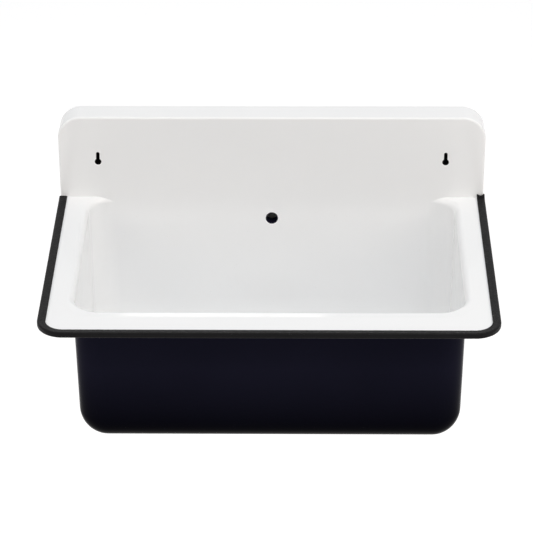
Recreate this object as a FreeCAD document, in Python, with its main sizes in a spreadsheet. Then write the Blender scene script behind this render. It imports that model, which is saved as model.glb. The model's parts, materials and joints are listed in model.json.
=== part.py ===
import FreeCAD, Part
import math
import os

import Sketcher
from FreeCAD import Placement, Rotation, Vector

# Wall-hung bucket sink of enamelled steel, with its edge trim, overflow, waste and plug.
# Origin: midway between the two hanging keyholes, on the splashback's front face.
# +X is to the right as seen from the front, +Y is towards the wall, +Z is up.

SIZES = {
    # Steel pressing
    "body_width": 506.6,        # across the splashback and the rim's bare edge
    "splash_height": 105.5,     # rim to the top of the splashback
    "ledge_depth": 31.7,        # splashback face to the wall
    "rim_depth": 322.0,         # splashback face to the rim's bare front edge
    "rim_corner": 28.3,         # front corners of the rim
    "splash_corner": 28.0,      # top corners of the splashback
    "fold_radius": 1.2,         # inside of the fold from splashback to ledge
    "mouth_radius": 5.6,        # inside of the bend from rim to bowl
    "steel": 2.0,               # sheet with its ground enamel
    "coat": 0.4,                # white cover enamel
    # Bowl, measured on the white surface
    "side_shelf": 35.05,        # rim's bare side edge to the bowl's side wall
    "basin_depth": 177.0,       # rim to floor
    "basin_radius": 31.0,       # upright corners and floor edges
    "front_shelf": 54.0,        # rim's bare front edge to the bowl's front wall
    "side_draft": 1.0,          # degrees
    "front_draft": 1.0,         # degrees
    "back_draft": 4.0,          # degrees
    "back_strip": 20.0,         # upright strip of splashback below the rim
    # Hanging keyholes
    "key_spacing": 413.6,
    "key_height": 46.9,         # rim to the centre of the round part
    "key_entry": 8.0,           # diameter of the round part
    "key_slot": 4.2,            # width of the slot
    "key_travel": 10.6,         # centre of the round part to the end of the slot
    # Edge trim
    "trim_reach": 9.8,          # overall width of the profile
    "trim_wall": 1.7,           # how far it stands out from the rim's edge
    "trim_leg": 2.2,            # thickness above and below the sheet
    "trim_round": 1.9,          # outer roundings of the profile
    "trim_tip": 0.8,            # roundings of the leg ends
    "trim_gap": 0.1,            # between profile and sheet, and at the splashback
    "core_gauge": 0.5,          # thickness of the clip band
    "core_cover": 1.2,          # plastic over the band's edges
    "core_gap": 0.05,           # play of the band in its plastic
    # Overflow
    "overflow_drop": 28.0,      # rim to the centre of the hole
    "overflow_bore": 12.5,
    "spigot_wall": 1.5,
    "spigot_reach": 11.0,       # splashback face to the spigot's end
    "inlet_start": 3.0,         # splashback face to the elbow's front end
    "pipe_setback": 18.0,       # splashback face to the axis of the upright pipe
    "pipe_bore": 14.5,
    "pipe_wall": 1.75,
    "pipe_bend": 32.0,          # bend radius on the axis
    "socket_wall": 1.5,         # least plastic behind a seal groove
    "socket_depth": 20.0,       # how far the pipe enters elbow and waste
    "elbow_drop": 14.0,         # overflow axis to the pipe's top end
    "ring_section": 2.0,        # O-ring section
    "ring_inset": 3.0,          # socket mouth to the middle of its O-ring
    "fit_gap": 0.15,            # between a tube and its socket
    "seal_gap": 0.05,           # between a seal and what it seals
    # Waste
    "drain_back": 138.0,        # splashback face to the drain's axis
    "strainer_width": 70.0,
    "strainer_gauge": 1.5,
    "strainer_land": 12.0,      # flat flange, from its edge to the seat
    "recess_gap": 2.0,          # strainer's edge to the dish's side
    "recess_width": "=strainer_width + 2 * recess_gap",     # dish for the flange
    "recess_slope": 45.0,       # degrees, side of the dish from level
    "seat_width": "=strainer_width - 2 * strainer_land",    # plug seat at floor level
    "seat_depth": 13.0,         # floor to the perforated plate
    "seat_slope": 1.5,          # narrowing of the seat's radius
    "drain_gap": 2.5,           # strainer's cup to the drain hole's edge
    "drain_hole": "=seat_width + 2 * (strainer_gauge + drain_gap)",
    "screw_head": 11.0,
    "drip_margin": 5.0,         # outer ring of holes to the seat's foot
    "ring_shift": 0.5,          # inner ring of holes, inwards of midway
    "outer_ring": "=seat_width - 2 * (seat_slope + drip_margin)",
    "inner_ring": "=(outer_ring + screw_head) / 2 - 2 * ring_shift",
    "drip_hole": 4.6,
    "upper_seal": 2.0,          # thickness
    "lower_seal": 3.0,          # thickness
    "seal_lip": 0.5,            # how far the seals reach into the drain hole
    "cup_lap": 1.0,             # waste body's flange beyond the strainer
    "cup_flange": "=strainer_width + 2 * cup_lap",
    "cup_flange_gauge": 5.0,
    "cup_wall": 4.0,
    "cup_gap": 1.5,             # strainer's cup to the waste body's wall
    "cup_width": "=seat_width + 2 * (strainer_gauge + cup_gap + cup_wall)",
    "cup_drop": 40.0,           # floor to the shoulder above the tail
    "tail_width": 47.8,         # over the thread of the tail
    "tail_bore": 40.0,
    "tail_length": 14.0,        # below the cup
    "tail_seat": 3.0,           # how far the tail piece sits in the cup
    "tail_step": 0.4,           # shoulder from the thread to the seated end
    "branch_drop": 27.0,        # floor to the axis of the overflow branch
    "branch_length": 50.0,      # drain axis to the branch's end
    "branch_wall": 3.2,
    "boss_width": 15.0,
    "boss_length": 16.0,
    "boss_gap": 0.5,            # under the perforated plate
    "rib_gauge": 3.0,
    "rib_height": 9.0,
    "insert_width": 9.0,
    "insert_length": 12.0,
    "screw_width": 6.0,
    "screw_head_height": 2.6,
    "screw_length": 16.0,
    "screw_slot": 1.4,
    "nut_wall": 3.0,
    "nut_length": 17.0,
    "nut_end": 3.0,             # thickness of the nut's end wall
    "nut_rib": 1.4,             # height of the grip ribs
    "cone_length": 5.0,         # length of the cone seal
    # Plug
    "plug_gap": 0.3,            # between plug and seat
    "plug_sink": 1.0,           # floor to the top of the rubber
    "plug_web": 5.5,            # rubber under the plate
    "plug_hollow": 28.0,        # diameter of the hollow underneath
    "plate_margin": 3.0,        # plate's edge to the seat
    "plate_width": "=seat_width - 2 * plate_margin",
    "plate_gauge": 1.0,
    "washer_width": 12.0,
    "washer_gauge": 1.0,
    "eye_wire": 2.4,            # diameter
    "eye_bore": 2.8,            # inside the eye
    "eye_stem": 3.0,            # stud diameter
    "eye_collar": 1.0,          # plate to the underside of the eye
    "stud_tail": 1.6,           # peened end under the washer
    "ring_width": 18.0,         # pull ring on its wire's centre line
    "ring_wire": 2.2,           # diameter
}

# Counts
INNER_HOLES = 6
OUTER_HOLES = 10
RIBS = 3
NUT_RIBS = 12

# Levels and places, written as expressions of the sheet
SHEET = "(Sizes.coat + Sizes.steel)"
HALF = "(Sizes.body_width / 2)"
RIM = "(-Sizes.key_height)"
TOP = f"({RIM} + Sizes.splash_height)"
FLOOR = f"({RIM} - Sizes.basin_depth)"
RECESS = "(Sizes.upper_seal + Sizes.strainer_gauge)"
CUP_TOP = f"({RECESS} + {SHEET} + Sizes.lower_seal)"
MARGIN = "40"   # spare reach of the solids that only cut
BLOCK_LOW = f"({FLOOR} - {RECESS} - {SHEET} - {MARGIN})"
OVERFLOW = f"({RIM} - Sizes.overflow_drop)"
SPIGOT_R = "(Sizes.overflow_bore / 2 + Sizes.spigot_wall)"
PIPE_R = "(Sizes.pipe_bore / 2 + Sizes.pipe_wall)"
PIPE_TOP = f"({OVERFLOW} - Sizes.elbow_drop)"
SOCKET_MOUTH = f"({PIPE_TOP} - Sizes.socket_depth)"
BRANCH = f"({FLOOR} - Sizes.branch_drop)"
BRANCH_R = f"({PIPE_R} + Sizes.fit_gap + Sizes.branch_wall)"
BRANCH_END = "(Sizes.branch_length - Sizes.drain_back)"
PLATE_TOP = "(Sizes.plate_gauge - Sizes.plug_sink)"
EYE = f"({PLATE_TOP} + Sizes.eye_collar + Sizes.eye_wire + Sizes.eye_bore / 2)"
BOSS_TOP = "(-Sizes.seat_depth - Sizes.strainer_gauge - Sizes.boss_gap)"
DRAIN_AT = ("0", "-Sizes.drain_back", FLOOR)

doc = FreeCAD.newDocument("bucket_sink")
sheet = doc.addObject("Spreadsheet::Sheet", "Sizes")
for row, (alias, value) in enumerate(SIZES.items(), start=1):
    sheet.set(f"A{row}", alias)
    sheet.set(f"B{row}", str(value))
    sheet.setAlias(f"B{row}", alias)
doc.recompute()

parts = []


def number(expression):
    """Value of an expression of the sheet."""
    value = sheet.evalExpression(str(expression))
    return float(getattr(value, "Value", value))


def put(item, at, axis="Z"):
    """Binds an object's place, and turns its own Z axis to X, Y or Z."""
    turns = {"X": Rotation(Vector(0, 1, 0), 90), "Y": Rotation(Vector(1, 0, 0), -90), "Z": Rotation()}
    item.Placement = Placement(Vector(), turns[axis])
    for letter, expression in zip("xyz", at):
        item.setExpression(f"Placement.Base.{letter}", expression)
    return item


def at_drain(height):
    return ("0", "-Sizes.drain_back", f"{FLOOR} + {height}")


def node(item, label):
    """Names a finished sub-part and adds it to the list that is written out."""
    item.Label = label
    parts.append(item)
    return item


# Part primitives and booleans

def box(name, x, y, z):
    item = doc.addObject("Part::Box", name)
    for side, (low, high) in zip(("Length", "Width", "Height"), (x, y, z)):
        item.setExpression(side, f"({high}) - ({low})")
    return put(item, (x[0], y[0], z[0]))


def cylinder(name, radius, height, at, axis="Z"):
    item = doc.addObject("Part::Cylinder", name)
    item.setExpression("Radius", radius)
    item.setExpression("Height", height)
    return put(item, at, axis)


def torus(name, radius, section, at, axis="Z"):
    item = doc.addObject("Part::Torus", name)
    item.setExpression("Radius1", radius)
    item.setExpression("Radius2", section)
    return put(item, at, axis)


def fuse(name, *shapes):
    item = doc.addObject("Part::MultiFuse", name)
    item.Shapes = list(shapes)
    return item


def cut(name, base, tool):
    item = doc.addObject("Part::Cut", name)
    item.Base = base
    item.Tool = tool
    return item


def common(name, base, tool):
    item = doc.addObject("Part::Common", name)
    item.Base = base
    item.Tool = tool
    return item


def rounded(name, base, radius, chosen):
    """Fillets the edges of base whose bounding box passes the test."""
    doc.recompute()
    size = number(radius)
    item = doc.addObject("Part::Fillet", name)
    item.Base = base
    edges = enumerate(base.Shape.Edges, start=1)
    item.Edges = [(index, size, size) for index, edge in edges if chosen(edge.BoundBox)]
    return item


def same(first, second):
    return abs(first - second) < 1e-4


# Sketches

def plane(body, role):
    return next(item for item in body.Origin.OriginFeatures if item.Role == role)


def new_sketch(body, name, role, lift="0"):
    sketch = body.newObject("Sketcher::SketchObject", name)
    sketch.AttachmentSupport = [(plane(body, role), "")]
    sketch.MapMode = "FlatFace"
    sketch.setExpression("AttachmentOffset.Base.z", lift)
    return sketch


def hold(sketch, kind, refs, expression):
    """Adds a dimension bound to an expression."""
    index = sketch.addConstraint(Sketcher.Constraint(kind, *refs, number(expression)))
    sketch.setExpression(f"Constraints[{index}]", expression)


def pin(sketch, kind, line, point, expression):
    """Holds a point's distance from the sketch's origin along one axis."""
    if same(number(expression), 0):
        axis = -2 if kind == "DistanceX" else -1
        sketch.addConstraint(Sketcher.Constraint("PointOnObject", line, point, axis))
    else:
        hold(sketch, kind, (-1, 1, line, point), expression)


def outline(sketch, corners, closed=True):
    """Straight edges through the corners, each (x, y) or (x, y, radius), as expressions.

    A rounded corner lies between two edges along the sketch's axes.
    """
    count = len(corners)
    spots = [Vector(number(corner[0]), number(corner[1]), 0) for corner in corners]
    radii = [corner[2] if len(corner) > 2 else None for corner in corners]
    edges = range(count if closed else count - 1)
    lines = []
    for start in edges:
        end = (start + 1) % count
        way = (spots[end] - spots[start]).normalize()
        first = spots[start] + way * (number(radii[start]) if radii[start] else 0)
        last = spots[end] - way * (number(radii[end]) if radii[end] else 0)
        lines.append(sketch.addGeometry(Part.LineSegment(first, last)))
        if same(way.x, 0):
            sketch.addConstraint(Sketcher.Constraint("Vertical", lines[-1]))
            pin(sketch, "DistanceX", lines[-1], 1, corners[start][0])
        elif same(way.y, 0):
            sketch.addConstraint(Sketcher.Constraint("Horizontal", lines[-1]))
            pin(sketch, "DistanceY", lines[-1], 1, corners[start][1])
    for spot in range(count):
        before = lines[spot - 1] if closed or spot > 0 else None
        after = lines[spot] if spot < len(lines) else None
        if before is not None and after is not None:
            join(sketch, before, after, radii[spot])
        slopes = [sketch.Geometry[line] for line in (before, after) if line is not None]
        upright = any(same(line.StartPoint.x, line.EndPoint.x) for line in slopes)
        level = any(same(line.StartPoint.y, line.EndPoint.y) for line in slopes)
        line, point = (after, 1) if after is not None else (before, 2)
        if not upright:
            pin(sketch, "DistanceX", line, point, corners[spot][0])
        if not level:
            pin(sketch, "DistanceY", line, point, corners[spot][1])


def join(sketch, before, after, radius):
    """Joins two edges at a sharp corner, or with a tangent arc."""
    if radius is None:
        sketch.addConstraint(Sketcher.Constraint("Coincident", before, 2, after, 1))
        return
    start = sketch.Geometry[before].EndPoint
    end = sketch.Geometry[after].StartPoint
    arrive = (start - sketch.Geometry[before].StartPoint).normalize()
    leave = (sketch.Geometry[after].EndPoint - end).normalize()
    centre = start + leave * number(radius)
    middle = centre + (arrive - leave).normalize() * number(radius)
    left = arrive.cross(leave).z > 0
    ends = (start, end) if left else (end, start)
    arc = sketch.addGeometry(Part.Arc(ends[0], middle, ends[1]))
    sketch.addConstraint(Sketcher.Constraint("Tangent", before, 2, arc, 1 if left else 2))
    sketch.addConstraint(Sketcher.Constraint("Tangent", arc, 2 if left else 1, after, 1))
    hold(sketch, "Radius", (arc,), radius)


def circle(sketch, x, y, radius):
    centre = Vector(number(x), number(y), 0)
    ring = sketch.addGeometry(Part.Circle(centre, Vector(0, 0, 1), number(radius)))
    pin(sketch, "DistanceX", ring, 3, x)
    pin(sketch, "DistanceY", ring, 3, y)
    hold(sketch, "Radius", (ring,), radius)


# PartDesign features

def new_body(label, at, axis="Z"):
    body = doc.addObject("PartDesign::Body", label)
    return node(put(body, at, axis), label)


def turned(body, name, corners, kind="PartDesign::Revolution"):
    """Full turn of an outline of (radius, height) about the body's own Z axis."""
    sketch = new_sketch(body, f"{name}_profile", "XZ_Plane")
    outline(sketch, corners)
    item = body.newObject(kind, name)
    item.Profile = sketch
    item.ReferenceAxis = (sketch, ["V_Axis"])
    item.Angle = 360
    return item


def ring_of(radii, heights):
    """Corners of a plain ring's section."""
    return [(radii[0], heights[0]), (radii[1], heights[0]), (radii[1], heights[1]), (radii[0], heights[1])]


def extruded(body, kind, name, sketch, length, reverse=False):
    item = body.newObject(kind, name)
    item.Profile = sketch
    item.setExpression("Length", length)
    item.Reversed = reverse
    return item


def around(body, name, feature, count):
    """Repeats a feature about the body's own Z axis."""
    doc.recompute()
    item = body.newObject("PartDesign::PolarPattern", name)
    item.Originals = [feature]
    item.Axis = (feature.Profile[0], ["N_Axis"])
    item.Angle = 360
    item.Occurrences = count
    body.Tip = item
    return item


def piped(body, kind, name, path, profile):
    item = body.newObject(kind, name)
    item.Profile = profile
    item.Spine = path
    return item


# Steel pressing and its white coat

def tangent(angle):
    return f"tan(Sizes.{angle} * 1 deg)"


def wall(at_rim, level, draft):
    """Where a leaning wall, drawn in by the corner radius, stands at a level above the rim."""
    inward = f"Sizes.basin_radius / cos(Sizes.{draft} * 1 deg)"
    return f"{at_rim} + {level} * {tangent(draft)} - {inward}"


def basin_core(name):
    """Bowl space drawn in by its corner radius, so that growing it rounds every corner."""
    low = "(Sizes.basin_radius - Sizes.basin_depth)"
    high = f"(2 * (Sizes.mouth_radius + {SHEET}))"
    item = doc.addObject("Part::Wedge", name)
    item.Placement = Placement(Vector(), Rotation(Vector(1, 0, 0), 90))
    item.setExpression("Ymin", f"{RIM} + {low}")
    item.setExpression("Ymax", f"{RIM} + {high}")
    for level, mark in ((low, ""), (high, "2")):
        side = wall(f"{HALF} - Sizes.side_shelf", level, "side_draft")
        front = wall("Sizes.rim_depth - Sizes.front_shelf", level, "front_draft")
        back = wall(f"Sizes.back_strip * {tangent('back_draft')}", level, "back_draft")
        item.setExpression(f"X{mark}min", f"-({side})")
        item.setExpression(f"X{mark}max", side)
        item.setExpression(f"Z{mark}min", f"-({back})")
        item.setExpression(f"Z{mark}max", front)
    return item


def bowl_space(name, inset):
    """Bowl with its flared mouth, grown by inset and cut off at the splashback's plane."""
    grown = doc.addObject("Part::Offset", f"{name}_bowl")
    grown.Source = basin_core(f"{name}_core")
    grown.Join = "Arc"
    grown.setExpression("Value", f"Sizes.basin_radius + {inset}")
    level = f"{RIM} - {inset}"
    wide = (f"-{HALF} - {MARGIN}", f"{HALF} + {MARGIN}")
    front = f"-Sizes.rim_depth - {MARGIN}"
    high = f"{RIM} + Sizes.basin_radius + {MARGIN}"
    plate = box(f"{name}_mouth_plate", wide, (front, f"Sizes.ledge_depth + {MARGIN}"), (level, high))
    joined = fuse(f"{name}_mouth", grown, plate)
    height = number(level)
    half = number(HALF)
    depth = number("Sizes.rim_depth")

    def in_mouth(bounds):
        level_edge = same(bounds.ZMin, height) and same(bounds.ZMax, height)
        return level_edge and bounds.XMin > -half and bounds.XMax < half and bounds.YMin > -depth

    flared = rounded(f"{name}_flare", joined, f"Sizes.mouth_radius + {SHEET} - {inset}", in_mouth)
    limit = box(f"{name}_limit", wide, (front, inset), (BLOCK_LOW, high))
    return common(f"{name}_space", flared, limit)


def pressing_block(name, inset):
    """Everything behind the visible face, with that face set back by inset."""
    deep = (BLOCK_LOW, f"{RIM} - {inset}")
    rim = box(f"{name}_rim", (f"-{HALF}", HALF), ("-Sizes.rim_depth", "Sizes.ledge_depth"), deep)
    front = number("-Sizes.rim_depth")
    rim = rounded(f"{name}_rim_round", rim, "Sizes.rim_corner",
                  lambda bounds: same(bounds.YMax, front) and same(bounds.XLength, 0))
    splash = box(f"{name}_splash", (f"-{HALF} + {inset}", f"{HALF} - {inset}"),
                 (inset, "Sizes.ledge_depth"), (BLOCK_LOW, f"{TOP} - {inset}"))
    top = number(f"{TOP} - {inset}")
    splash = rounded(f"{name}_splash_round", splash, f"Sizes.splash_corner - {inset}",
                     lambda bounds: same(bounds.ZMin, top) and same(bounds.XLength, 0))
    face = number(inset)
    low = number(BLOCK_LOW)
    splash = rounded(f"{name}_splash_fold", splash, f"Sizes.fold_radius + {SHEET} - {inset}",
                     lambda bounds: same(bounds.YMax, face) and not same(bounds.ZMax, low))
    dish = doc.addObject("Part::Cone", f"{name}_dish")
    narrow = f"Sizes.recess_width / 2 + {inset} * tan(Sizes.recess_slope * 0.5 deg)"
    rise = f"({RECESS} + {inset} + Sizes.coat)"
    dish.setExpression("Radius1", narrow)
    dish.setExpression("Radius2", f"{narrow} + {rise} / {tangent('recess_slope')}")
    dish.setExpression("Height", rise)
    put(dish, ("0", "-Sizes.drain_back", f"{FLOOR} - {RECESS} - {inset}"))
    solid = fuse(f"{name}_solid", rim, splash)
    return cut(f"{name}_block", solid, fuse(f"{name}_air", bowl_space(name, inset), dish))


def pressing_holes():
    """Two keyholes, the overflow hole and the drain hole."""
    start = f"-{MARGIN}"
    length = f"2 * {MARGIN}"
    rise = "Sizes.key_travel"
    narrow = "Sizes.key_slot / 2"
    holes = []
    for side, sign in (("left", "-"), ("right", "")):
        centre = f"{sign}Sizes.key_spacing / 2"
        entry = cylinder(f"{side}_key_entry", "Sizes.key_entry / 2", length, (centre, start, "0"), "Y")
        holes.append(entry)
        holes.append(cylinder(f"{side}_key_end", narrow, length, (centre, start, rise), "Y"))
        holes.append(box(f"{side}_key_slot", (f"{centre} - {narrow}", f"{centre} + {narrow}"),
                         (start, MARGIN), ("0", rise)))
    holes.append(cylinder("overflow_hole", "Sizes.overflow_bore / 2", length, ("0", start, OVERFLOW), "Y"))
    holes.append(cylinder("drain_hole", "Sizes.drain_hole / 2", length, at_drain(start)))
    return fuse("pressing_holes", *holes)


def pressing():
    face = pressing_block("face", "0")
    steel = pressing_block("steel", "Sizes.coat")
    back = pressing_block("back", SHEET)
    holes = pressing_holes()
    node(cut("sink_body", cut("steel_sheet", steel, back), holes), "sink_body")
    node(cut("white_enamel", cut("white_sheet", face, steel), holes), "white_enamel")
    return back


# Edge trim

TRIM_OUT = "Sizes.trim_wall"
TRIM_IN = "(Sizes.trim_reach - Sizes.trim_wall)"
SLOT = f"({SHEET} / 2 + Sizes.trim_gap)"
TRIM_MID = f"({RIM} - {SHEET} / 2)"


def trim_path(body, name):
    """Left edge, front edge and right edge of the rim, in the sheet's mid plane."""
    path = new_sketch(body, f"{name}_path", "XY_Plane", TRIM_MID)
    outline(path, [(f"-{HALF}", "-Sizes.trim_gap"), (f"-{HALF}", "-Sizes.rim_depth", "Sizes.rim_corner"),
                   (HALF, "-Sizes.rim_depth", "Sizes.rim_corner"), (HALF, "-Sizes.trim_gap")], closed=False)
    return path


def trim_section(body, name, corners):
    """Outline of (distance out from the rim's edge, height from the sheet's middle)."""
    sketch = new_sketch(body, f"{name}_section", "XZ_Plane", "Sizes.trim_gap")
    outline(sketch, [(f"-{HALF} - ({out})", f"{TRIM_MID} + ({up})", *radius)
                     for out, up, *radius in corners])
    return sketch


def band(play):
    """U section of the clip band, grown by play."""
    outside = f"(Sizes.trim_gap + (Sizes.trim_wall - Sizes.trim_gap + Sizes.core_gauge) / 2 + {play})"
    inside = f"({outside} - Sizes.core_gauge - 2 * {play})"
    high = f"({SLOT} + (Sizes.trim_leg + Sizes.core_gauge) / 2 + {play})"
    low = f"({high} - Sizes.core_gauge - 2 * {play})"
    tip = f"(Sizes.core_cover - {TRIM_IN} - {play})"
    return [(tip, high), (outside, high), (outside, f"-{high}"), (tip, f"-{high}"),
            (tip, f"-{low}"), (inside, f"-{low}"), (inside, low), (tip, low)]


def edge_trim():
    high = f"({SLOT} + Sizes.trim_leg)"
    tip = f"(-{TRIM_IN})"
    body = new_body("edge_trim", ("0", "0", "0"))
    section = trim_section(body, "trim", [
        (tip, high, "Sizes.trim_tip"), (TRIM_OUT, high, "Sizes.trim_round"),
        (TRIM_OUT, f"-{high}", "Sizes.trim_round"), (tip, f"-{high}", "Sizes.trim_tip"),
        (tip, f"-{SLOT}"), ("Sizes.trim_gap", f"-{SLOT}"), ("Sizes.trim_gap", SLOT), (tip, SLOT)])
    piped(body, "PartDesign::AdditivePipe", "trim_profile", trim_path(body, "trim"), section)
    hollow = trim_section(body, "hollow", band("Sizes.core_gap"))
    piped(body, "PartDesign::SubtractivePipe", "band_space", trim_path(body, "hollow"), hollow)
    core = new_body("trim_core", ("0", "0", "0"))
    section = trim_section(core, "core", band("0"))
    piped(core, "PartDesign::AdditivePipe", "clip_band", trim_path(core, "core"), section)


# Overflow

def overflow(back):
    at = ("0", f"-{MARGIN}", OVERFLOW)
    tube = cut("spigot_tube",
               cylinder("spigot_outside", SPIGOT_R, f"Sizes.spigot_reach + {MARGIN}", at, "Y"),
               cylinder("spigot_bore", "Sizes.overflow_bore / 2", f"2 * {MARGIN}", at, "Y"))
    node(common("overflow_spigot", tube, back), "overflow_spigot")
    elbow()
    seal_ring("spigot_seal", SPIGOT_R, ("0", "Sizes.inlet_start + Sizes.ring_inset", OVERFLOW), "Y")
    seal_ring("elbow_seal", PIPE_R, ("0", "Sizes.pipe_setback", f"{SOCKET_MOUTH} + Sizes.ring_inset"), "Z")
    pipe()


def seal_ring(label, tube, at, axis):
    """O-ring on a tube of the given radius."""
    section = "Sizes.ring_section / 2"
    node(torus(label, f"{tube} + Sizes.seal_gap + {section}", section, at, axis), label)


def groove(name, tube, mouth, axis):
    """Seal groove for a tube of the given radius, set in from the socket's mouth."""
    width = "(Sizes.ring_section + 2 * Sizes.seal_gap)"
    inset = f"Sizes.ring_inset - {width} / 2"
    at = [f"{place} + {inset}" if letter == axis else place for letter, place in zip("XYZ", mouth)]
    return cylinder(name, f"{tube} + {width}", width, at, axis)


def elbow():
    back = "Sizes.pipe_setback"
    seal = "Sizes.ring_section + 2 * Sizes.seal_gap + Sizes.socket_wall"
    barrel_r = f"({PIPE_R} + {seal})"
    inlet_r = f"({SPIGOT_R} + {seal})"
    low = ("0", back, SOCKET_MOUTH)
    front = ("0", "Sizes.inlet_start", OVERFLOW)
    crown = f"({OVERFLOW} + {inlet_r} + Sizes.pipe_wall)"
    reach = f"({back} - Sizes.inlet_start)"
    seat = "(Sizes.spigot_reach + Sizes.fit_gap - Sizes.inlet_start)"
    shell = fuse("elbow_shell",
                 cylinder("elbow_barrel", barrel_r, f"{crown} - {SOCKET_MOUTH}", low),
                 cylinder("elbow_inlet", inlet_r, reach, front, "Y"))
    crown_level = number(crown)
    shell = rounded("elbow_crown", shell, "Sizes.pipe_wall",
                    lambda bounds: same(bounds.ZMin, crown_level) and same(bounds.ZMax, crown_level))
    climb = f"{OVERFLOW} + Sizes.overflow_bore / 2 - {SOCKET_MOUTH}"
    depth = "Sizes.socket_depth + Sizes.fit_gap"
    air = fuse("elbow_air",
               cylinder("elbow_channel", "Sizes.pipe_bore / 2", climb, low),
               cylinder("elbow_socket", f"{PIPE_R} + Sizes.fit_gap", depth, low),
               cylinder("inlet_channel", "Sizes.overflow_bore / 2", reach, front, "Y"),
               cylinder("inlet_socket", f"{SPIGOT_R} + Sizes.fit_gap", seat, front, "Y"),
               groove("inlet_groove", SPIGOT_R, front, "Y"),
               groove("socket_groove", PIPE_R, low, "Z"))
    node(cut("overflow_elbow", shell, air), "overflow_elbow")


def pipe():
    """Upright behind the bowl, one bend, then level into the waste's branch."""
    body = new_body("overflow_pipe", ("0", "0", "0"))
    path = new_sketch(body, "pipe_path", "YZ_Plane")
    outline(path, [("Sizes.pipe_setback", PIPE_TOP), ("Sizes.pipe_setback", BRANCH, "Sizes.pipe_bend"),
                   (f"{BRANCH_END} - Sizes.socket_depth", BRANCH)], closed=False)
    section = new_sketch(body, "pipe_section", "XY_Plane", PIPE_TOP)
    circle(section, "0", "Sizes.pipe_setback", PIPE_R)
    circle(section, "0", "Sizes.pipe_setback", "Sizes.pipe_bore / 2")
    piped(body, "PartDesign::AdditivePipe", "bent_tube", path, section)


# Waste

def strainer():
    body = new_body("strainer", DRAIN_AT)
    gauge = "Sizes.strainer_gauge"
    wide = "Sizes.seat_width / 2"
    narrow = f"({wide} - Sizes.seat_slope)"
    hole = "(Sizes.screw_width / 2 + Sizes.fit_gap)"
    low = "-Sizes.seat_depth"
    turned(body, "strainer_dish", [
        (hole, low), (narrow, low), (wide, "0"), ("Sizes.strainer_width / 2", "0"),
        ("Sizes.strainer_width / 2", f"-{gauge}"), (f"{wide} + {gauge}", f"-{gauge}"),
        (f"{narrow} + {gauge}", f"{low} - {gauge}"), (hole, f"{low} - {gauge}")])
    for name, count in (("inner", INNER_HOLES), ("outer", OUTER_HOLES)):
        sketch = new_sketch(body, f"{name}_drip", "XY_Plane", low)
        circle(sketch, f"Sizes.{name}_ring / 2", "0", "Sizes.drip_hole / 2")
        hole_cut = extruded(body, "PartDesign::Pocket", f"{name}_hole", sketch, f"2 * {gauge}")
        around(body, f"{name}_holes", hole_cut, count)


def flat_seals():
    inner = "Sizes.drain_hole / 2 - Sizes.seal_lip"
    upper = new_body("strainer_seal", DRAIN_AT)
    turned(upper, "upper_ring", ring_of((inner, "Sizes.strainer_width / 2 - Sizes.seal_lip"),
                                        (f"-{RECESS}", "-Sizes.strainer_gauge")))
    lower = new_body("body_seal", DRAIN_AT)
    turned(lower, "lower_ring", ring_of((inner, "Sizes.cup_flange / 2 - Sizes.seal_lip"),
                                        (f"-{CUP_TOP}", f"-({RECESS} + {SHEET})")))


def waste_body():
    body = new_body("waste_body", DRAIN_AT)
    cup = "Sizes.cup_width / 2"
    inside = f"({cup} - Sizes.cup_wall)"
    under = "(-Sizes.cup_drop)"
    shelf = f"(-{CUP_TOP} - Sizes.cup_flange_gauge)"
    turned(body, "waste_outside", [
        ("0", f"-{CUP_TOP}"), ("Sizes.cup_flange / 2", f"-{CUP_TOP}"), ("Sizes.cup_flange / 2", shelf),
        (cup, shelf), (cup, under), ("0", under)])
    sketch = new_sketch(body, "branch_outside", "XZ_Plane")
    circle(sketch, "0", "-Sizes.branch_drop", BRANCH_R)
    extruded(body, "PartDesign::Pad", "branch", sketch, "Sizes.branch_length", reverse=True)
    throat = "Sizes.tail_bore / 2"
    tail = "Sizes.tail_width / 2"
    seat = f"({under} + Sizes.tail_seat)"
    mouth = f"({throat} + Sizes.tail_seat)"
    spigot = f"({tail} - Sizes.tail_step)"
    socket = f"({spigot} + Sizes.seal_gap)"
    turned(body, "waste_bore", [
        ("0", f"-{CUP_TOP}"), (inside, f"-{CUP_TOP}"), (inside, f"{under} + 2 * Sizes.tail_seat"),
        (mouth, seat), (socket, seat), (socket, under), ("0", under)], "PartDesign::Groove")
    piece = new_body("tail_piece", DRAIN_AT)
    bottom = f"({under} - Sizes.tail_length)"
    turned(piece, "tail_turning", [
        (throat, bottom), (tail, bottom), (tail, under), (spigot, under), (spigot, seat),
        (mouth, seat), (throat, under)])
    sketch = new_sketch(body, "branch_inside", "XZ_Plane")
    circle(sketch, "0", "-Sizes.branch_drop", f"{PIPE_R} + Sizes.fit_gap")
    extruded(body, "PartDesign::Pocket", "branch_bore", sketch, "Sizes.branch_length")
    boss_low = f"({BOSS_TOP} - Sizes.boss_length)"
    rib_low = f"({boss_low} + Sizes.rib_gauge)"
    sketch = new_sketch(body, "rib_plan", "XY_Plane", rib_low)
    half = "Sizes.rib_gauge / 2"
    outline(sketch, [(f"-{half}", "-Sizes.insert_width / 2"), (f"-{half}", f"-{inside} - {half}"),
                     (half, f"-{inside} - {half}"), (half, "-Sizes.insert_width / 2")])
    rib = extruded(body, "PartDesign::Pad", "rib", sketch, "Sizes.rib_height")
    around(body, "ribs", rib, RIBS)
    boss_bore = "Sizes.insert_width / 2 + Sizes.seal_gap"
    turned(body, "boss", ring_of((boss_bore, "Sizes.boss_width / 2"), (boss_low, BOSS_TOP)))
    screw_bore = "(Sizes.screw_width / 2 + Sizes.seal_gap)"
    insert = new_body("waste_insert", DRAIN_AT)
    turned(insert, "insert_ring", ring_of((screw_bore, "Sizes.insert_width / 2"),
                                          (f"{BOSS_TOP} - Sizes.insert_length", BOSS_TOP)))


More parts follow.
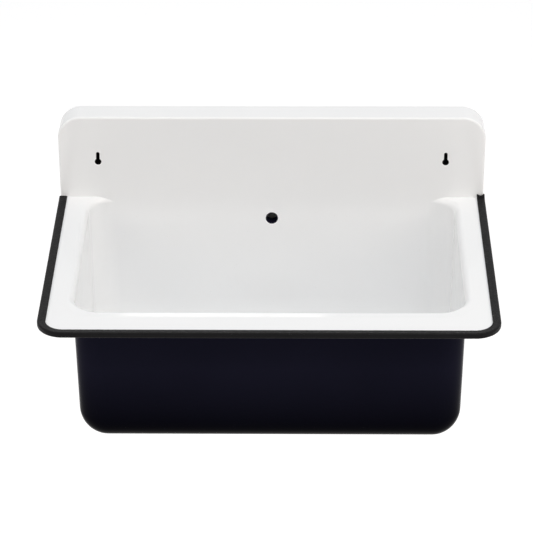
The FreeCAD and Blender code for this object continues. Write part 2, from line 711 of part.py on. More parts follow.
def strainer_screw():
    body = new_body("strainer_screw", DRAIN_AT)
    plate = "-Sizes.seat_depth"
    top = f"({plate} + Sizes.screw_head_height)"
    stem = "Sizes.screw_width / 2"
    end = f"({plate} - Sizes.screw_length)"
    turned(body, "screw_turning", [
        ("0", top), ("Sizes.screw_head / 2", top, "Sizes.screw_head_height / 2"),
        ("Sizes.screw_head / 2", plate), (stem, plate), (stem, end), ("0", end)])
    sketch = new_sketch(body, "slot_plan", "XY_Plane", top)
    wide = "Sizes.screw_slot / 2"
    outline(sketch, [("-Sizes.screw_head", f"-{wide}"), ("Sizes.screw_head", f"-{wide}"),
                     ("Sizes.screw_head", wide), ("-Sizes.screw_head", wide)])
    extruded(body, "PartDesign::Pocket", "driver_slot", sketch, "Sizes.screw_head_height / 2")


def branch_joint():
    at = ("0", BRANCH_END, BRANCH)
    tube = f"({PIPE_R} + Sizes.seal_gap)"
    cone = new_body("branch_seal", at, "Y")
    turned(cone, "cone_ring", [
        (tube, "0"), (f"{BRANCH_R} - Sizes.nut_rib", "0"),
        (f"{PIPE_R} + Sizes.branch_wall / 2", "Sizes.cone_length"), (tube, "Sizes.cone_length")])
    nut = new_body("branch_nut", at, "Y")
    inside = f"({BRANCH_R} + Sizes.seal_gap)"
    outside = f"({inside} + Sizes.nut_wall)"
    end = "(Sizes.cone_length + Sizes.nut_end)"
    turned(nut, "nut_ring", [
        (inside, f"{end} - Sizes.nut_length"), (outside, f"{end} - Sizes.nut_length"), (outside, end),
        (f"{PIPE_R} + Sizes.fit_gap", end), (f"{PIPE_R} + Sizes.fit_gap", "Sizes.cone_length"),
        (inside, "Sizes.cone_length")])
    sketch = new_sketch(nut, "grip_plan", "XY_Plane", f"{end} - Sizes.nut_length + Sizes.nut_rib")
    half = "Sizes.nut_rib"
    outline(sketch, [(f"{outside} - {half}", f"-{half}"), (f"{outside} + Sizes.nut_rib", f"-{half}"),
                     (f"{outside} + Sizes.nut_rib", half), (f"{outside} - {half}", half)])
    rib = extruded(nut, "PartDesign::Pad", "grip", sketch, "Sizes.nut_length - 2 * Sizes.nut_rib")
    around(nut, "grips", rib, NUT_RIBS)


# Plug

def plug():
    top = "-Sizes.plug_sink"
    low = "-Sizes.seat_depth"
    roof = f"({top} - Sizes.plug_web)"
    stem = "(Sizes.eye_stem / 2 + Sizes.seal_gap)"
    wide = f"(Sizes.seat_width / 2 + {top} * Sizes.seat_slope / Sizes.seat_depth - Sizes.plug_gap)"
    narrow = "(Sizes.seat_width / 2 - Sizes.seat_slope - Sizes.plug_gap)"
    hollow = "Sizes.plug_hollow / 2"
    stopper = new_body("plug_stopper", DRAIN_AT)
    turned(stopper, "stopper_turning", [
        (stem, top), (wide, top), (narrow, low), (hollow, low), (hollow, roof), (stem, roof)])
    plate = new_body("plug_plate", DRAIN_AT)
    turned(plate, "plate_turning", [
        (stem, top), ("Sizes.plate_width / 2", top),
        ("Sizes.plate_width / 2", PLATE_TOP, "Sizes.plate_gauge / 2"), (stem, PLATE_TOP)])
    washer = new_body("plug_washer", DRAIN_AT)
    underside = f"({roof} - Sizes.washer_gauge)"
    turned(washer, "washer_turning", ring_of((stem, "Sizes.washer_width / 2"), (underside, roof)))
    eye(underside)
    pull_ring()


def eye(underside):
    """Upright eye on a stud whose end is peened over the washer."""
    wire = "Sizes.eye_wire / 2"
    peen = f"({underside} - Sizes.stud_tail)"
    loop = torus("eye_loop", f"Sizes.eye_bore / 2 + {wire}", wire, at_drain(EYE), "X")
    length = f"{EYE} - Sizes.eye_bore / 2 - {wire} - {peen}"
    stud = cylinder("eye_stud", "Sizes.eye_stem / 2", length, at_drain(peen))
    collar = cylinder("eye_foot", "Sizes.eye_stem", "Sizes.eye_collar", at_drain(PLATE_TOP))
    tail = doc.addObject("Part::Cone", "eye_peen")
    tail.setExpression("Radius1", "Sizes.eye_stem / 2")
    tail.setExpression("Radius2", "Sizes.eye_stem")
    tail.setExpression("Height", "Sizes.stud_tail")
    put(tail, at_drain(peen))
    node(fuse("plug_eye", loop, stud, collar, tail), "plug_eye")


def pull_ring():
    """Ring through the eye, leaning down on the plate towards the front."""
    wire = "Sizes.ring_wire / 2"
    drop = number(f"{EYE} - {PLATE_TOP} - {wire} - Sizes.plug_gap")
    lean = math.asin(drop / number("Sizes.ring_width"))
    ring = doc.addObject("Part::Torus", "pull_ring")
    ring.setExpression("Radius1", "Sizes.ring_width / 2")
    ring.setExpression("Radius2", wire)
    ring.Placement = Placement(Vector(), Rotation(Vector(1, 0, 0), math.degrees(lean)))
    radius = number("Sizes.ring_width / 2")
    ring.setExpression("Placement.Base.y", f"-Sizes.drain_back - {radius * math.cos(lean)}")
    ring.setExpression("Placement.Base.z", f"{FLOOR} + {EYE} - {radius * math.sin(lean)}")
    node(ring, "pull_ring")
    print(f"pull ring leans {math.degrees(lean):.3f} degrees about z {number(FLOOR) + number(EYE):.3f}")


overflow(pressing())
edge_trim()
strainer()
flat_seals()
waste_body()
strainer_screw()
branch_joint()
plug()
doc.recompute()

failed = [item.Name for item in doc.Objects if {"Invalid", "Error"} & set(item.State)]
for part in parts:
    if part.Shape.isNull() or not part.Shape.isValid():
        failed.append(part.Label)
if failed:
    raise RuntimeError(f"not sound: {failed}")

os.makedirs("parts", exist_ok=True)
for part in parts:
    solids = part.Shape.Solids
    print(f"{part.Label}: {len(solids)} solid, {part.Shape.Volume:.1f} mm3, {part.Shape.BoundBox}")
    part.Shape.exportStep(f"parts/{part.Label}.step")
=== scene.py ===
import json
import logging
import math
from dataclasses import dataclass
from enum import Enum
from functools import partial
from typing import Callable, Optional, Sequence

import bmesh
import bpy
import numpy as np
from mathutils import Matrix, Vector
from mathutils.geometry import delaunay_2d_cdt


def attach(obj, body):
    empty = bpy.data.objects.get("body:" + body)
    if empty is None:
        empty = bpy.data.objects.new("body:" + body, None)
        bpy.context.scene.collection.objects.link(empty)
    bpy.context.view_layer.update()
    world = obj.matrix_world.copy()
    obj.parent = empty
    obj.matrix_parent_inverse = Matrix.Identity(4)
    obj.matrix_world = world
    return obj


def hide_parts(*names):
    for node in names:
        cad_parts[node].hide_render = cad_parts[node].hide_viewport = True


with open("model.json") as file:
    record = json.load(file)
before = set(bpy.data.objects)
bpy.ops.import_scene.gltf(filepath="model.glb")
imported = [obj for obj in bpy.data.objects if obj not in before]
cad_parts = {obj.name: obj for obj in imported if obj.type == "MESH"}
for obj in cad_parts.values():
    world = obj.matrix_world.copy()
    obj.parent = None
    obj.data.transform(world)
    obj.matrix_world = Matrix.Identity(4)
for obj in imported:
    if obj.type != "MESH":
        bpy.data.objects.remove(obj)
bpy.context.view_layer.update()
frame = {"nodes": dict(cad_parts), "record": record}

# Pieces are sized in millimetres, and the pressing's levels are measured from its rim.
# Finishes and the stage are sized in metres.
MM = 0.001
LOG = logging.getLogger("bucket_sink")

# Sizes that several pieces share
RIM = -46.9
HALF_WIDTH = 253.3
FRONT = 322.0
EDGE_CORNER = 28.3
KEY_X = 206.8
OVERFLOW_HOLE = 6.25
OVERFLOW_LEVEL = -28.0
BOWL_DEPTH = 177.0
DRAIN_BACK = 138.0

# Least length to divide by, and least area of a face
TINY = 1e-12
THIN = 1e-9

# Points in one cell of a grid become one vertex, and the shift keeps round sizes off the cells' borders.
WELD_CELLS = 500.0
WELD_SHIFT = 0.3137

# Most noise lies within this span.
NOISE_SPAN = (0.3, 0.7)
WHITE = (1.0, 1.0, 1.0)
UP = np.array((0.0, 0.0, 1.0))

Colour = tuple[float, float, float]
Flat = tuple[float, float]
Point = Sequence[float]
Loops = dict[str, list[np.ndarray]]
Patch = Callable[[np.ndarray, np.ndarray], np.ndarray]
Mesh = bpy.types.Mesh
Socket = bpy.types.NodeSocket
Inputs = dict[str | int, object]


class Body(Enum):
    """Bodies of the frame that new pieces ride on."""

    SINK = "sink"
    PLUG = "plug"


class Axis(Enum):
    """Axes that pieces are turned about."""

    Y = "Y"
    Z = "Z"


# Node trees


class Tree:
    """Short calls that add and join the nodes of one tree."""

    def __init__(self, tree: bpy.types.NodeTree) -> None:
        """Takes up a tree and empties it."""
        self.tree = tree
        self.tree.nodes.clear()

    def add(self, kind: str, inputs: Optional[Inputs] = None, **settings: object) -> bpy.types.Node:
        """Adds a node.

        Args:
            kind: The node's type name.
            inputs: Values or sockets for its inputs, by name or place.
            settings: Properties to set on it.

        Returns:
            The new node.
        """
        node = self.tree.nodes.new(kind)
        for key, value in settings.items():
            setattr(node, key, value)
        self.fill(node, inputs or {})
        return node

    def fill(self, node: bpy.types.Node, inputs: Inputs) -> None:
        """Sets values on a node's inputs and links sockets to them.

        Args:
            node: The node.
            inputs: Values or sockets, by the input's name or place.
        """
        for key, value in inputs.items():
            if isinstance(value, Socket):
                self.tree.links.new(value, node.inputs[key])
            else:
                node.inputs[key].default_value = value

    def maths(self, kind: str, *values: float | Socket) -> Socket:
        """One sum on numbers or sockets, by the operation's name."""
        return self.add("ShaderNodeMath", dict(enumerate(values)), operation=kind).outputs["Value"]

    def span(self, source: Socket, ends: Flat, to: Flat = (0.0, 1.0)) -> Socket:
        """Maps a range onto another, clamped.

        Args:
            source: Value to map.
            ends: Range that it comes in.
            to: Range that it goes out.

        Returns:
            The mapped value.
        """
        limits = dict(zip(("From Min", "From Max", "To Min", "To Max"), (*ends, *to)))
        return self.add("ShaderNodeMapRange", {"Value": source, **limits}).outputs["Result"]

    def tint(self, factor: Socket, low: Colour | Socket, high: Colour | Socket) -> Socket:
        """Mixes two colours, given as triples or sockets.

        Args:
            factor: Share of the second colour.
            low: First colour.
            high: Second colour.

        Returns:
            The mixed colour.
        """
        first, second = ((*c, 1.0) if isinstance(c, tuple) else c for c in (low, high))
        # The node's colour sockets come after those for numbers and vectors.
        node = self.add("ShaderNodeMix", {0: factor, 6: first, 7: second}, data_type="RGBA")
        return node.outputs[2]

    def seen(self) -> Socket:
        """Tells rays that see or mirror a surface from those that only carry light.

        Returns:
            1 for the first kind, 0 for the second.
        """
        rays = self.add("ShaderNodeLightPath").outputs
        direct = self.maths("MAXIMUM", rays["Is Camera Ray"], rays["Is Glossy Ray"])
        return self.maths("MAXIMUM", direct, rays["Is Transmission Ray"])


class Nodes(Tree):
    """The nodes of one material, round a single shader."""

    def __init__(self, name: str) -> None:
        """Starts the material.

        Args:
            name: The material's name.
        """
        self.material = bpy.data.materials.new(name)
        self.material.use_nodes = True
        super().__init__(self.material.node_tree)
        self.shader = self.add("ShaderNodeBsdfPrincipled")
        self.out = self.add("ShaderNodeOutputMaterial", {"Surface": self.shader.outputs["BSDF"]})
        self.place = self.add("ShaderNodeTexCoord").outputs["Object"]

    def feed(self, **values: float | Socket) -> None:
        """Sets or links the shader's inputs, named with underscores for spaces."""
        self.fill(self.shader, {key.replace("_", " "): value for key, value in values.items()})

    def noise(self, scale: float, detail: float) -> Socket:
        """Noise over the surface, by its cells to the metre and its octaves."""
        inputs = {"Vector": self.place, "Scale": scale, "Detail": detail}
        return self.add("ShaderNodeTexNoise", inputs).outputs["Fac"]

    def turned_radius(self, centre: Point) -> Socket:
        """Distance from an upright axis, which turned and brushed marks follow.

        Args:
            centre: A point of the axis, in metres.

        Returns:
            The distance in metres.
        """
        level = (1.0, 1.0, 0.0)
        shift = [-c * keep for c, keep in zip(centre, level)]
        plan = self.add("ShaderNodeMapping", {"Vector": self.place, "Location": shift, "Scale": level})
        length = self.add("ShaderNodeVectorMath", {0: plan.outputs["Vector"]}, operation="LENGTH")
        return length.outputs["Value"]

    def bump(self, height: Socket, depth: float, under: Optional[Socket] = None) -> Socket:
        """Relief from a height.

        Args:
            height: Height from 0 to 1.
            depth: Depth in metres of the whole range.
            under: Normal that it lies on.

        Returns:
            The new normal.
        """
        node = self.add("ShaderNodeBump", {"Height": height, "Distance": depth})
        if under is not None:
            self.fill(node, {"Normal": under})
        return node.outputs["Normal"]

    def front_only(self, shader: Socket) -> None:
        """Ends the material in a shader that is clear from behind.

        Args:
            shader: What shows from the front.
        """
        behind = self.add("ShaderNodeNewGeometry").outputs["Backfacing"]
        clear = self.add("ShaderNodeBsdfTransparent").outputs["BSDF"]
        pick = self.add("ShaderNodeMixShader", {0: behind, 1: shader, 2: clear})
        self.fill(self.out, {"Surface": pick.outputs["Shader"]})


class Growth(Tree):
    """A geometry node tree with named inputs, applied to an object as a plain mesh."""

    def __init__(self, name: str, inputs: dict[str, str]) -> None:
        """Starts a tree.

        Args:
            name: The tree's name.
            inputs: Input names with their kinds, after the geometry.
        """
        super().__init__(bpy.data.node_groups.new(name, "GeometryNodeTree"))
        face = self.tree.interface
        face.new_socket("Geometry", in_out="INPUT", socket_type="NodeSocketGeometry")
        self.keys = {key: face.new_socket(key, in_out="INPUT", socket_type="NodeSocket" + kind).identifier
                     for key, kind in inputs.items()}
        face.new_socket("Geometry", in_out="OUTPUT", socket_type="NodeSocketGeometry")
        self.source = self.add("NodeGroupInput")
        self.target = self.add("NodeGroupOutput")

    def given(self, key: str) -> Socket:
        """The socket of a named input."""
        return self.source.outputs[key]

    def end(self, geometry: Socket) -> None:
        """Ends the tree with realised instances and the material.

        Args:
            geometry: What the tree has made.
        """
        real = self.add("GeometryNodeRealizeInstances", {"Geometry": geometry})
        paint = self.add("GeometryNodeSetMaterial", {"Geometry": real.outputs["Geometry"],
                                                     "Material": self.given("Material")})
        self.fill(self.target, {"Geometry": paint.outputs["Geometry"]})

    def grown(self, name: str, base: Mesh, **values: object) -> Mesh:
        """Runs the tree on a mesh.

        Args:
            name: The new mesh's name.
            base: The mesh that it starts from.
            values: Values of the named inputs, with underscores for spaces.

        Returns:
            The plain mesh that comes out.
        """
        carrier = bpy.data.objects.new(name + "_base", base)
        bpy.context.scene.collection.objects.link(carrier)
        step = carrier.modifiers.new("growth", "NODES")
        step.node_group = self.tree
        for key, value in values.items():
            step[self.keys[key.replace("_", " ")]] = value
        graph = bpy.context.evaluated_depsgraph_get()
        mesh = bpy.data.meshes.new_from_object(carrier.evaluated_get(graph), depsgraph=graph)
        mesh.name = name
        carrier.modifiers.clear()
        bpy.data.objects.remove(carrier)
        return mesh


def sweep_tree() -> Growth:
    """A section swept along a level path, with a grain pressed into its skin.

    Returns:
        The tree.
    """
    tree = Growth("swept_edging", {"Section": "Object", "Grain Size": "Float", "Grain Depth": "Float",
                                   "Seed": "Float", "Material": "Material"})
    path = tree.add("GeometryNodeMeshToCurve", {"Mesh": tree.given("Geometry")})
    level = tree.add("GeometryNodeSetCurveNormal", {"Curve": path.outputs["Curve"]}, mode="Z_UP")
    shape = tree.add("GeometryNodeObjectInfo", {"Object": tree.given("Section")})
    ring = tree.add("GeometryNodeMeshToCurve", {"Mesh": shape.outputs["Geometry"]})
    sweep = tree.add("GeometryNodeCurveToMesh", {"Curve": level.outputs["Curve"], "Fill Caps": True,
                                                 "Profile Curve": ring.outputs["Curve"]})
    scale = tree.maths("DIVIDE", 1.0, tree.given("Grain Size"))
    grain = tree.add("ShaderNodeTexNoise", {"W": tree.given("Seed"), "Scale": scale, "Detail": 2.0},
                     noise_dimensions="4D")
    depth = tree.maths("MULTIPLY", grain.outputs["Fac"], tree.given("Grain Depth"))
    inwards = tree.maths("MULTIPLY", depth, -1.0)
    normal = tree.add("GeometryNodeInputNormal").outputs["Normal"]
    push = tree.add("ShaderNodeVectorMath", {0: normal, "Scale": inwards}, operation="SCALE")
    move = tree.add("GeometryNodeSetPosition", {"Geometry": sweep.outputs["Mesh"],
                                                "Offset": push.outputs["Vector"]})
    tree.end(move.outputs["Geometry"])
    return tree


def ring_tree(axis: Axis) -> Growth:
    """Copies of a shape set evenly round an axis.

    Args:
        axis: The axis.

    Returns:
        The tree.
    """
    tree = Growth("ring_about_" + axis.value.lower(), {"Count": "Int", "First Angle": "Float",
                                                       "Centre": "Vector", "Material": "Material"})
    spots = tree.add("GeometryNodeMeshLine", {"Count": tree.given("Count"), "Offset": (0.0, 0.0, 0.0)},
                     mode="OFFSET")
    step = tree.maths("DIVIDE", 2.0 * math.pi, tree.given("Count"))
    turn = tree.maths("MULTIPLY", tree.add("GeometryNodeInputIndex").outputs["Index"], step)
    angle = tree.maths("ADD", turn, tree.given("First Angle"))
    euler = tree.add("ShaderNodeCombineXYZ", {axis.value: angle})
    rotation = tree.add("FunctionNodeEulerToRotation", {"Euler": euler.outputs["Vector"]})
    copies = tree.add("GeometryNodeInstanceOnPoints", {"Points": spots.outputs["Mesh"],
                                                       "Instance": tree.given("Geometry"),
                                                       "Rotation": rotation.outputs["Rotation"]})
    place = tree.add("GeometryNodeTransform", {"Geometry": copies.outputs["Instances"],
                                               "Translation": tree.given("Centre")})
    tree.end(place.outputs["Geometry"])
    return tree


# Finishes


@dataclass(frozen=True)
class Finish:
    """A surface finish, made into one material on first use."""

    name: str

    def material(self) -> bpy.types.Material:
        """Finds the material, or makes it on first use.

        Returns:
            The material.
        """
        found = bpy.data.materials.get(self.name)
        if found is None:
            nodes = Nodes(self.name)
            self.dress(nodes)
            found = nodes.material
        return found

    def dress(self, nodes: Nodes) -> None:
        """Adds the finish's own nodes."""
        raise NotImplementedError


@dataclass(frozen=True)
class Enamel(Finish):
    """Fired gloss enamel: slow colour drift, fine pits and a faint orange-peel relief, with optional painted
    shade that darkens the colour towards the bottom.
    """

    low: Colour
    high: Colour
    fleck: Colour
    fleck_share: float
    gloss: Flat
    index: float
    peel: float
    # Painted shade: a foot colour that the enamel darkens to towards the bottom, between two levels in
    # metres.
    foot: Optional[Colour] = None
    painted_shade_levels: Flat = (-0.218, -0.125)
    drift_scale: float = 5.0
    pit_scale: float = 620.0
    pit_span: Flat = (0.74, 0.80)
    gloss_scale: float = 38.0
    wave_scale: float = 46.0
    wave_to_peel: float = 3.0
    peel_scale: float = 290.0

    def dress(self, nodes: Nodes) -> None:
        """Adds colour drift, painted shade towards the bottom, flecks, gloss and relief.

        Args:
            nodes: The material's nodes.
        """
        drift = nodes.span(nodes.noise(self.drift_scale, detail=3.0), NOISE_SPAN)
        colour = nodes.tint(drift, self.low, self.high)
        # Painted shade: the colour darkens to the foot colour towards the bottom.
        if self.foot:
            level = nodes.add("ShaderNodeSeparateXYZ", {"Vector": nodes.place}).outputs["Z"]
            colour = nodes.tint(nodes.span(level, self.painted_shade_levels, (1.0, 0.0)), colour, self.foot)
        pits = nodes.span(nodes.noise(self.pit_scale, detail=1.0), self.pit_span, (0.0, self.fleck_share))
        dull = nodes.span(nodes.noise(self.gloss_scale, detail=3.0), NOISE_SPAN, self.gloss)
        waves = nodes.bump(nodes.noise(self.wave_scale, detail=1.0), self.peel * self.wave_to_peel)
        relief = nodes.bump(nodes.noise(self.peel_scale, detail=1.0), self.peel, waves)
        nodes.feed(Base_Color=nodes.tint(pits, colour, self.fleck), Roughness=dull, Normal=relief,
                   IOR=self.index)


@dataclass(frozen=True)
class Moulding(Finish):
    """Moulded plastic or rubber with a fine grain."""

    low: Colour
    high: Colour
    grain: float
    depth: float
    gloss: Flat
    specular: float = 0.5
    drift_to_grain: float = 0.05
    gloss_to_grain: float = 0.4
    cells_to_grain: float = 0.7
    speck_share: float = 0.6

    def dress(self, nodes: Nodes) -> None:
        """Adds colour drift, grain and uneven gloss.

        Args:
            nodes: The material's nodes.
        """
        slow = nodes.span(nodes.noise(self.grain * self.drift_to_grain, detail=3.0), NOISE_SPAN)
        speck = nodes.noise(self.grain, detail=2.0)
        drift = nodes.maths("MULTIPLY", slow, 1.0 - self.speck_share)
        share = nodes.maths("MULTIPLY_ADD", speck, self.speck_share, drift)
        dull = nodes.span(nodes.noise(self.grain * self.gloss_to_grain, detail=2.0), NOISE_SPAN, self.gloss)
        cells = nodes.add("ShaderNodeTexVoronoi", {"Vector": nodes.place,
                                                   "Scale": self.grain * self.cells_to_grain})
        coarse = nodes.bump(cells.outputs["Distance"], self.depth)
        relief = nodes.bump(speck, self.depth * self.speck_share, coarse)
        nodes.feed(Base_Color=nodes.tint(share, self.low, self.high), Roughness=dull, Normal=relief,
                   Specular_IOR_Level=self.specular)


@dataclass(frozen=True)
class Metal(Finish):
    """Bare metal with turned or drawn marks about the drain's axis."""

    low: Colour
    high: Colour
    gloss: Flat
    marks: float
    depth: float
    centre: Point = (0.0, -DRAIN_BACK * MM, 0.0)
    ring_share: float = 0.65
    patch_scale: float = 55.0
    patch_span: Flat = (0.35, 0.7)
    gloss_span: Flat = (0.2, 0.8)

    def dress(self, nodes: Nodes) -> None:
        """Adds fine rings about the axis, dull patches and their relief.

        Args:
            nodes: The material's nodes.
        """
        radius = nodes.turned_radius(self.centre)
        line = nodes.add("ShaderNodeTexNoise", {"W": radius, "Scale": self.marks, "Detail": 4.0},
                         noise_dimensions="1D")
        rings = line.outputs["Fac"]
        patch = nodes.span(nodes.noise(self.patch_scale, detail=3.0), self.patch_span,
                           (0.0, 1.0 - self.ring_share))
        share = nodes.maths("MULTIPLY_ADD", rings, self.ring_share, patch)
        nodes.feed(Base_Color=nodes.tint(share, self.low, self.high), Metallic=1.0,
                   Roughness=nodes.span(share, self.gloss_span, self.gloss),
                   Normal=nodes.bump(rings, self.depth))


FINISHES: dict[str, Finish] = {
    "cover_enamel": Enamel("white_cover_enamel", low=(0.877, 0.887, 0.897), high=(0.893, 0.903, 0.913),
                           fleck=(0.68, 0.67, 0.65), fleck_share=0.35, gloss=(0.08, 0.12), index=1.42,
                           peel=0.000005),
    # The foot colour is painted shade on the lower part of the dark sheet.
    "ground_enamel": Enamel("navy_ground_enamel", low=(0.0092, 0.0092, 0.0194), high=(0.0122, 0.0122, 0.0251),
                            fleck=(0.014, 0.014, 0.026), fleck_share=0.6, gloss=(0.12, 0.22), index=1.05,
                            peel=0.000030, foot=(0.0002, 0.0002, 0.0007)),
    "trim_plastic": Moulding("grained_black_edging", low=(0.0014, 0.0013, 0.0017),
                             high=(0.0051, 0.0047, 0.0056), grain=1300.0, depth=0.00016, gloss=(0.32, 0.50),
                             specular=0.11),
    "band_steel": Metal("sprung_band_steel", low=(0.42, 0.42, 0.43), high=(0.56, 0.56, 0.56),
                        gloss=(0.25, 0.42), marks=2600.0, depth=0.00001),
    "seal_rubber": Moulding("seal_rubber_black", low=(0.012, 0.012, 0.012), high=(0.028, 0.028, 0.029),
                            grain=1100.0, depth=0.00005, gloss=(0.62, 0.82), specular=0.35),
    "plug_rubber": Moulding("plug_rubber_black", low=(0.016, 0.016, 0.016), high=(0.036, 0.035, 0.035),
                            grain=900.0, depth=0.00006, gloss=(0.52, 0.74), specular=0.4),
    "waste_plastic": Moulding("white_waste_moulding", low=(0.66, 0.66, 0.645), high=(0.76, 0.76, 0.75),
                              grain=700.0, depth=0.00003, gloss=(0.30, 0.44)),
    "insert_brass": Metal("turned_brass", low=(0.62, 0.44, 0.19), high=(0.76, 0.60, 0.31),
                          gloss=(0.20, 0.36), marks=3000.0, depth=0.00002),
    "strainer_steel": Metal("brushed_stainless", low=(0.52, 0.52, 0.515), high=(0.68, 0.68, 0.67),
                            gloss=(0.20, 0.36), marks=2400.0, depth=0.000012),
    "ring_chrome": Metal("polished_chrome", low=(0.74, 0.745, 0.76), high=(0.84, 0.84, 0.85),
                         gloss=(0.05, 0.12), marks=1500.0, depth=0.000004),
}


# Shared mesh calls


class Surface:
    """Collects faces with exact corner normals and joins them into one closed mesh."""

    def __init__(self) -> None:
        """Starts with nothing."""
        self.points: list[np.ndarray] = []
        self.known: dict[tuple[int, int, int], int] = {}
        self.faces: list[tuple[int, ...]] = []
        self.normals: list[np.ndarray] = []
        self.edges: set[tuple[int, int]] = set()

    def corner(self, point: np.ndarray) -> int:
        """Finds or adds a vertex.

        Args:
            point: Its place in millimetres.

        Returns:
            Its number.
        """
        key = tuple(int(math.floor(c * WELD_CELLS + WELD_SHIFT)) for c in point)
        if key not in self.known:
            self.known[key] = len(self.points)
            self.points.append(np.array(point, float))
        return self.known[key]

    def face(self, points: Sequence[np.ndarray], normals: Sequence[np.ndarray]) -> None:
        """Adds one face, turned to agree with its normals, without its doubled corners.

        Args:
            points: Corners in order.
            normals: A normal for each corner.
        """
        ids: list[int] = []
        kept: list[np.ndarray] = []
        for point, normal in zip(points, normals):
            number = self.corner(point)
            if number not in ids:
                ids.append(number)
                kept.append(normal)
        if len(ids) < 3:
            return
        places = [self.points[n] for n in ids]
        flat = sum((np.cross(places[k] - places[0], places[k + 1] - places[0])
                    for k in range(1, len(places) - 1)), np.zeros(3))
        if float(np.dot(flat, sum(kept))) < 0:
            ids.reverse()
            kept.reverse()
        self.faces.append(tuple(ids))
        self.normals.extend(kept)
        self.edges.update(zip(ids, ids[1:] + ids[:1]))

    def grid(self, points: np.ndarray, normals: np.ndarray) -> None:
        """Adds a grid of four-sided faces.

        Args:
            points: Rows of points.
            normals: A normal for each point.
        """
        for r in range(points.shape[0] - 1):
            for c in range(points.shape[1] - 1):
                spots = ((r, c), (r, c + 1), (r + 1, c + 1), (r + 1, c))
                self.face([points[s] for s in spots], [normals[s] for s in spots])

    def strip(self, first: Sequence[np.ndarray], second: Sequence[np.ndarray]) -> None:
        """Joins two closed loops that bound faces already added.

        Args:
            first: Points of one loop.
            second: As many points of the other.
        """
        count = len(first)
        for k in range(count):
            quad = [first[k], first[(k + 1) % count], second[(k + 1) % count], second[k]]
            flat = np.cross(quad[2] - quad[0], quad[3] - quad[1])
            size = float(np.linalg.norm(flat))
            if size < THIN:
                continue
            edges = ((quad[0], quad[1]), (quad[2], quad[3]))
            taken = any((self.corner(a), self.corner(b)) in self.edges for a, b in edges)
            normal = flat / size * (-1.0 if taken else 1.0)
            self.face(quad, [normal] * 4)

    def mesh(self, name: str) -> Mesh:
        """Makes the mesh, in metres and in the part's frame.

        Args:
            name: The mesh's name.

        Returns:
            The mesh with its corner normals.
        """
        made = bpy.data.meshes.new(name)
        places = (np.array(self.points) + UP * RIM) * MM
        made.from_pydata(places.tolist(), [], self.faces)
        made.polygons.foreach_set("use_smooth", [True] * len(self.faces))
        units = np.array(self.normals)
        units /= np.linalg.norm(units, axis=1, keepdims=True)
        made.normals_split_custom_set(units.tolist())
        return made


def placed(name: str, mesh: Mesh, slot: str, body: Body, replaces: Sequence[str] = ()) -> None:
    """Makes a finished piece of a mesh and ties it to the frame.

    Args:
        name: The piece's name.
        mesh: Its mesh, in metres and in place.
        slot: Its material slot in the record.
        body: The body that it rides on.
        replaces: CAD nodes that it stands for.
    """
    piece = bpy.data.objects.new(name, mesh)
    bpy.context.scene.collection.objects.link(piece)
    mesh.materials.clear()
    mesh.materials.append(FINISHES[slot].material())
    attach(piece, body.value)
    if replaces:
        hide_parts(*replaces)
    LOG.info("%s: %d faces on %s", name, len(mesh.polygons), body.value)


def smoothed(mesh: Mesh, degrees: float = 32.0) -> Mesh:
    """Shades a mesh smooth but for its sharp edges.

    Args:
        mesh: The mesh.
        degrees: Angle from which an edge counts as sharp.

    Returns:
        The same mesh.
    """
    mesh.polygons.foreach_set("use_smooth", [True] * len(mesh.polygons))
    mesh.set_sharp_from_angle(angle=math.radians(degrees))
    return mesh


def outward(mesh: Mesh) -> None:
    """Merges doubled points and turns every face of a closed mesh outwards.

    Args:
        mesh: The mesh, in metres.
    """
    work = bmesh.new()
    work.from_mesh(mesh)
    bmesh.ops.remove_doubles(work, verts=work.verts, dist=1e-7)
    bmesh.ops.dissolve_degenerate(work, edges=work.edges, dist=1e-8)
    bmesh.ops.recalc_face_normals(work, faces=work.faces)
    work.to_mesh(mesh)
    work.free()


def arc(centre: Point, radius: float, start: float, end: float, steps: int) -> list[Flat]:
    """Points of a plane arc.

    Args:
        centre: Its centre.
        radius: Its radius.
        start: First angle in degrees.
        end: Last angle in degrees.
        steps: Number of pieces.

    Returns:
        The points, both ends included.
    """
    turns = [math.radians(start + (end - start) * k / steps) for k in range(steps + 1)]
    return [(centre[0] + radius * math.cos(t), centre[1] + radius * math.sin(t)) for t in turns]


def circle(centre: Point, radius: float, steps: int) -> np.ndarray:
    """Points of a whole circle, each once."""
    return np.array(arc(centre, radius, 0.0, 360.0, steps)[:-1])


def softened(outline: Sequence[Flat], rounds: Sequence[float], steps: int = 5) -> list[Flat]:
    """Rounds the corners of a closed outline.

    Args:
        outline: Its corners.
        rounds: A radius for each corner.
        steps: Pieces in a rounding.

    Returns:
        The rounded outline's points.
    """
    made: list[Flat] = []
    corners = [Vector(corner) for corner in outline]
    # A rounding takes less than half of the edges beside it.
    most = 0.49
    for k, (here, radius) in enumerate(zip(corners, rounds)):
        if radius <= 0.0:
            made.append(tuple(here))
            continue
        before = corners[k - 1] - here
        after = corners[(k + 1) % len(corners)] - here
        half = before.angle(after) / 2.0
        reach = min(radius / math.tan(half), before.length * most, after.length * most)
        first = here + before.normalized() * reach
        last = here + after.normalized() * reach
        for s in range(steps + 1):
            t = s / steps
            made.append(tuple(first * (1 - t) ** 2 + here * (2 * t * (1 - t)) + last * t ** 2))
    return made


def bands(first: int, second: int, count: int) -> list[tuple[int, int, int, int]]:
    """Four-sided faces between two closed rows of points.

    Args:
        first: Number of the first row's first point.
        second: Number of the second row's first point.
        count: Points in a row.

    Returns:
        The faces.
    """
    return [(first + k, second + k, second + (k + 1) % count, first + (k + 1) % count) for k in range(count)]


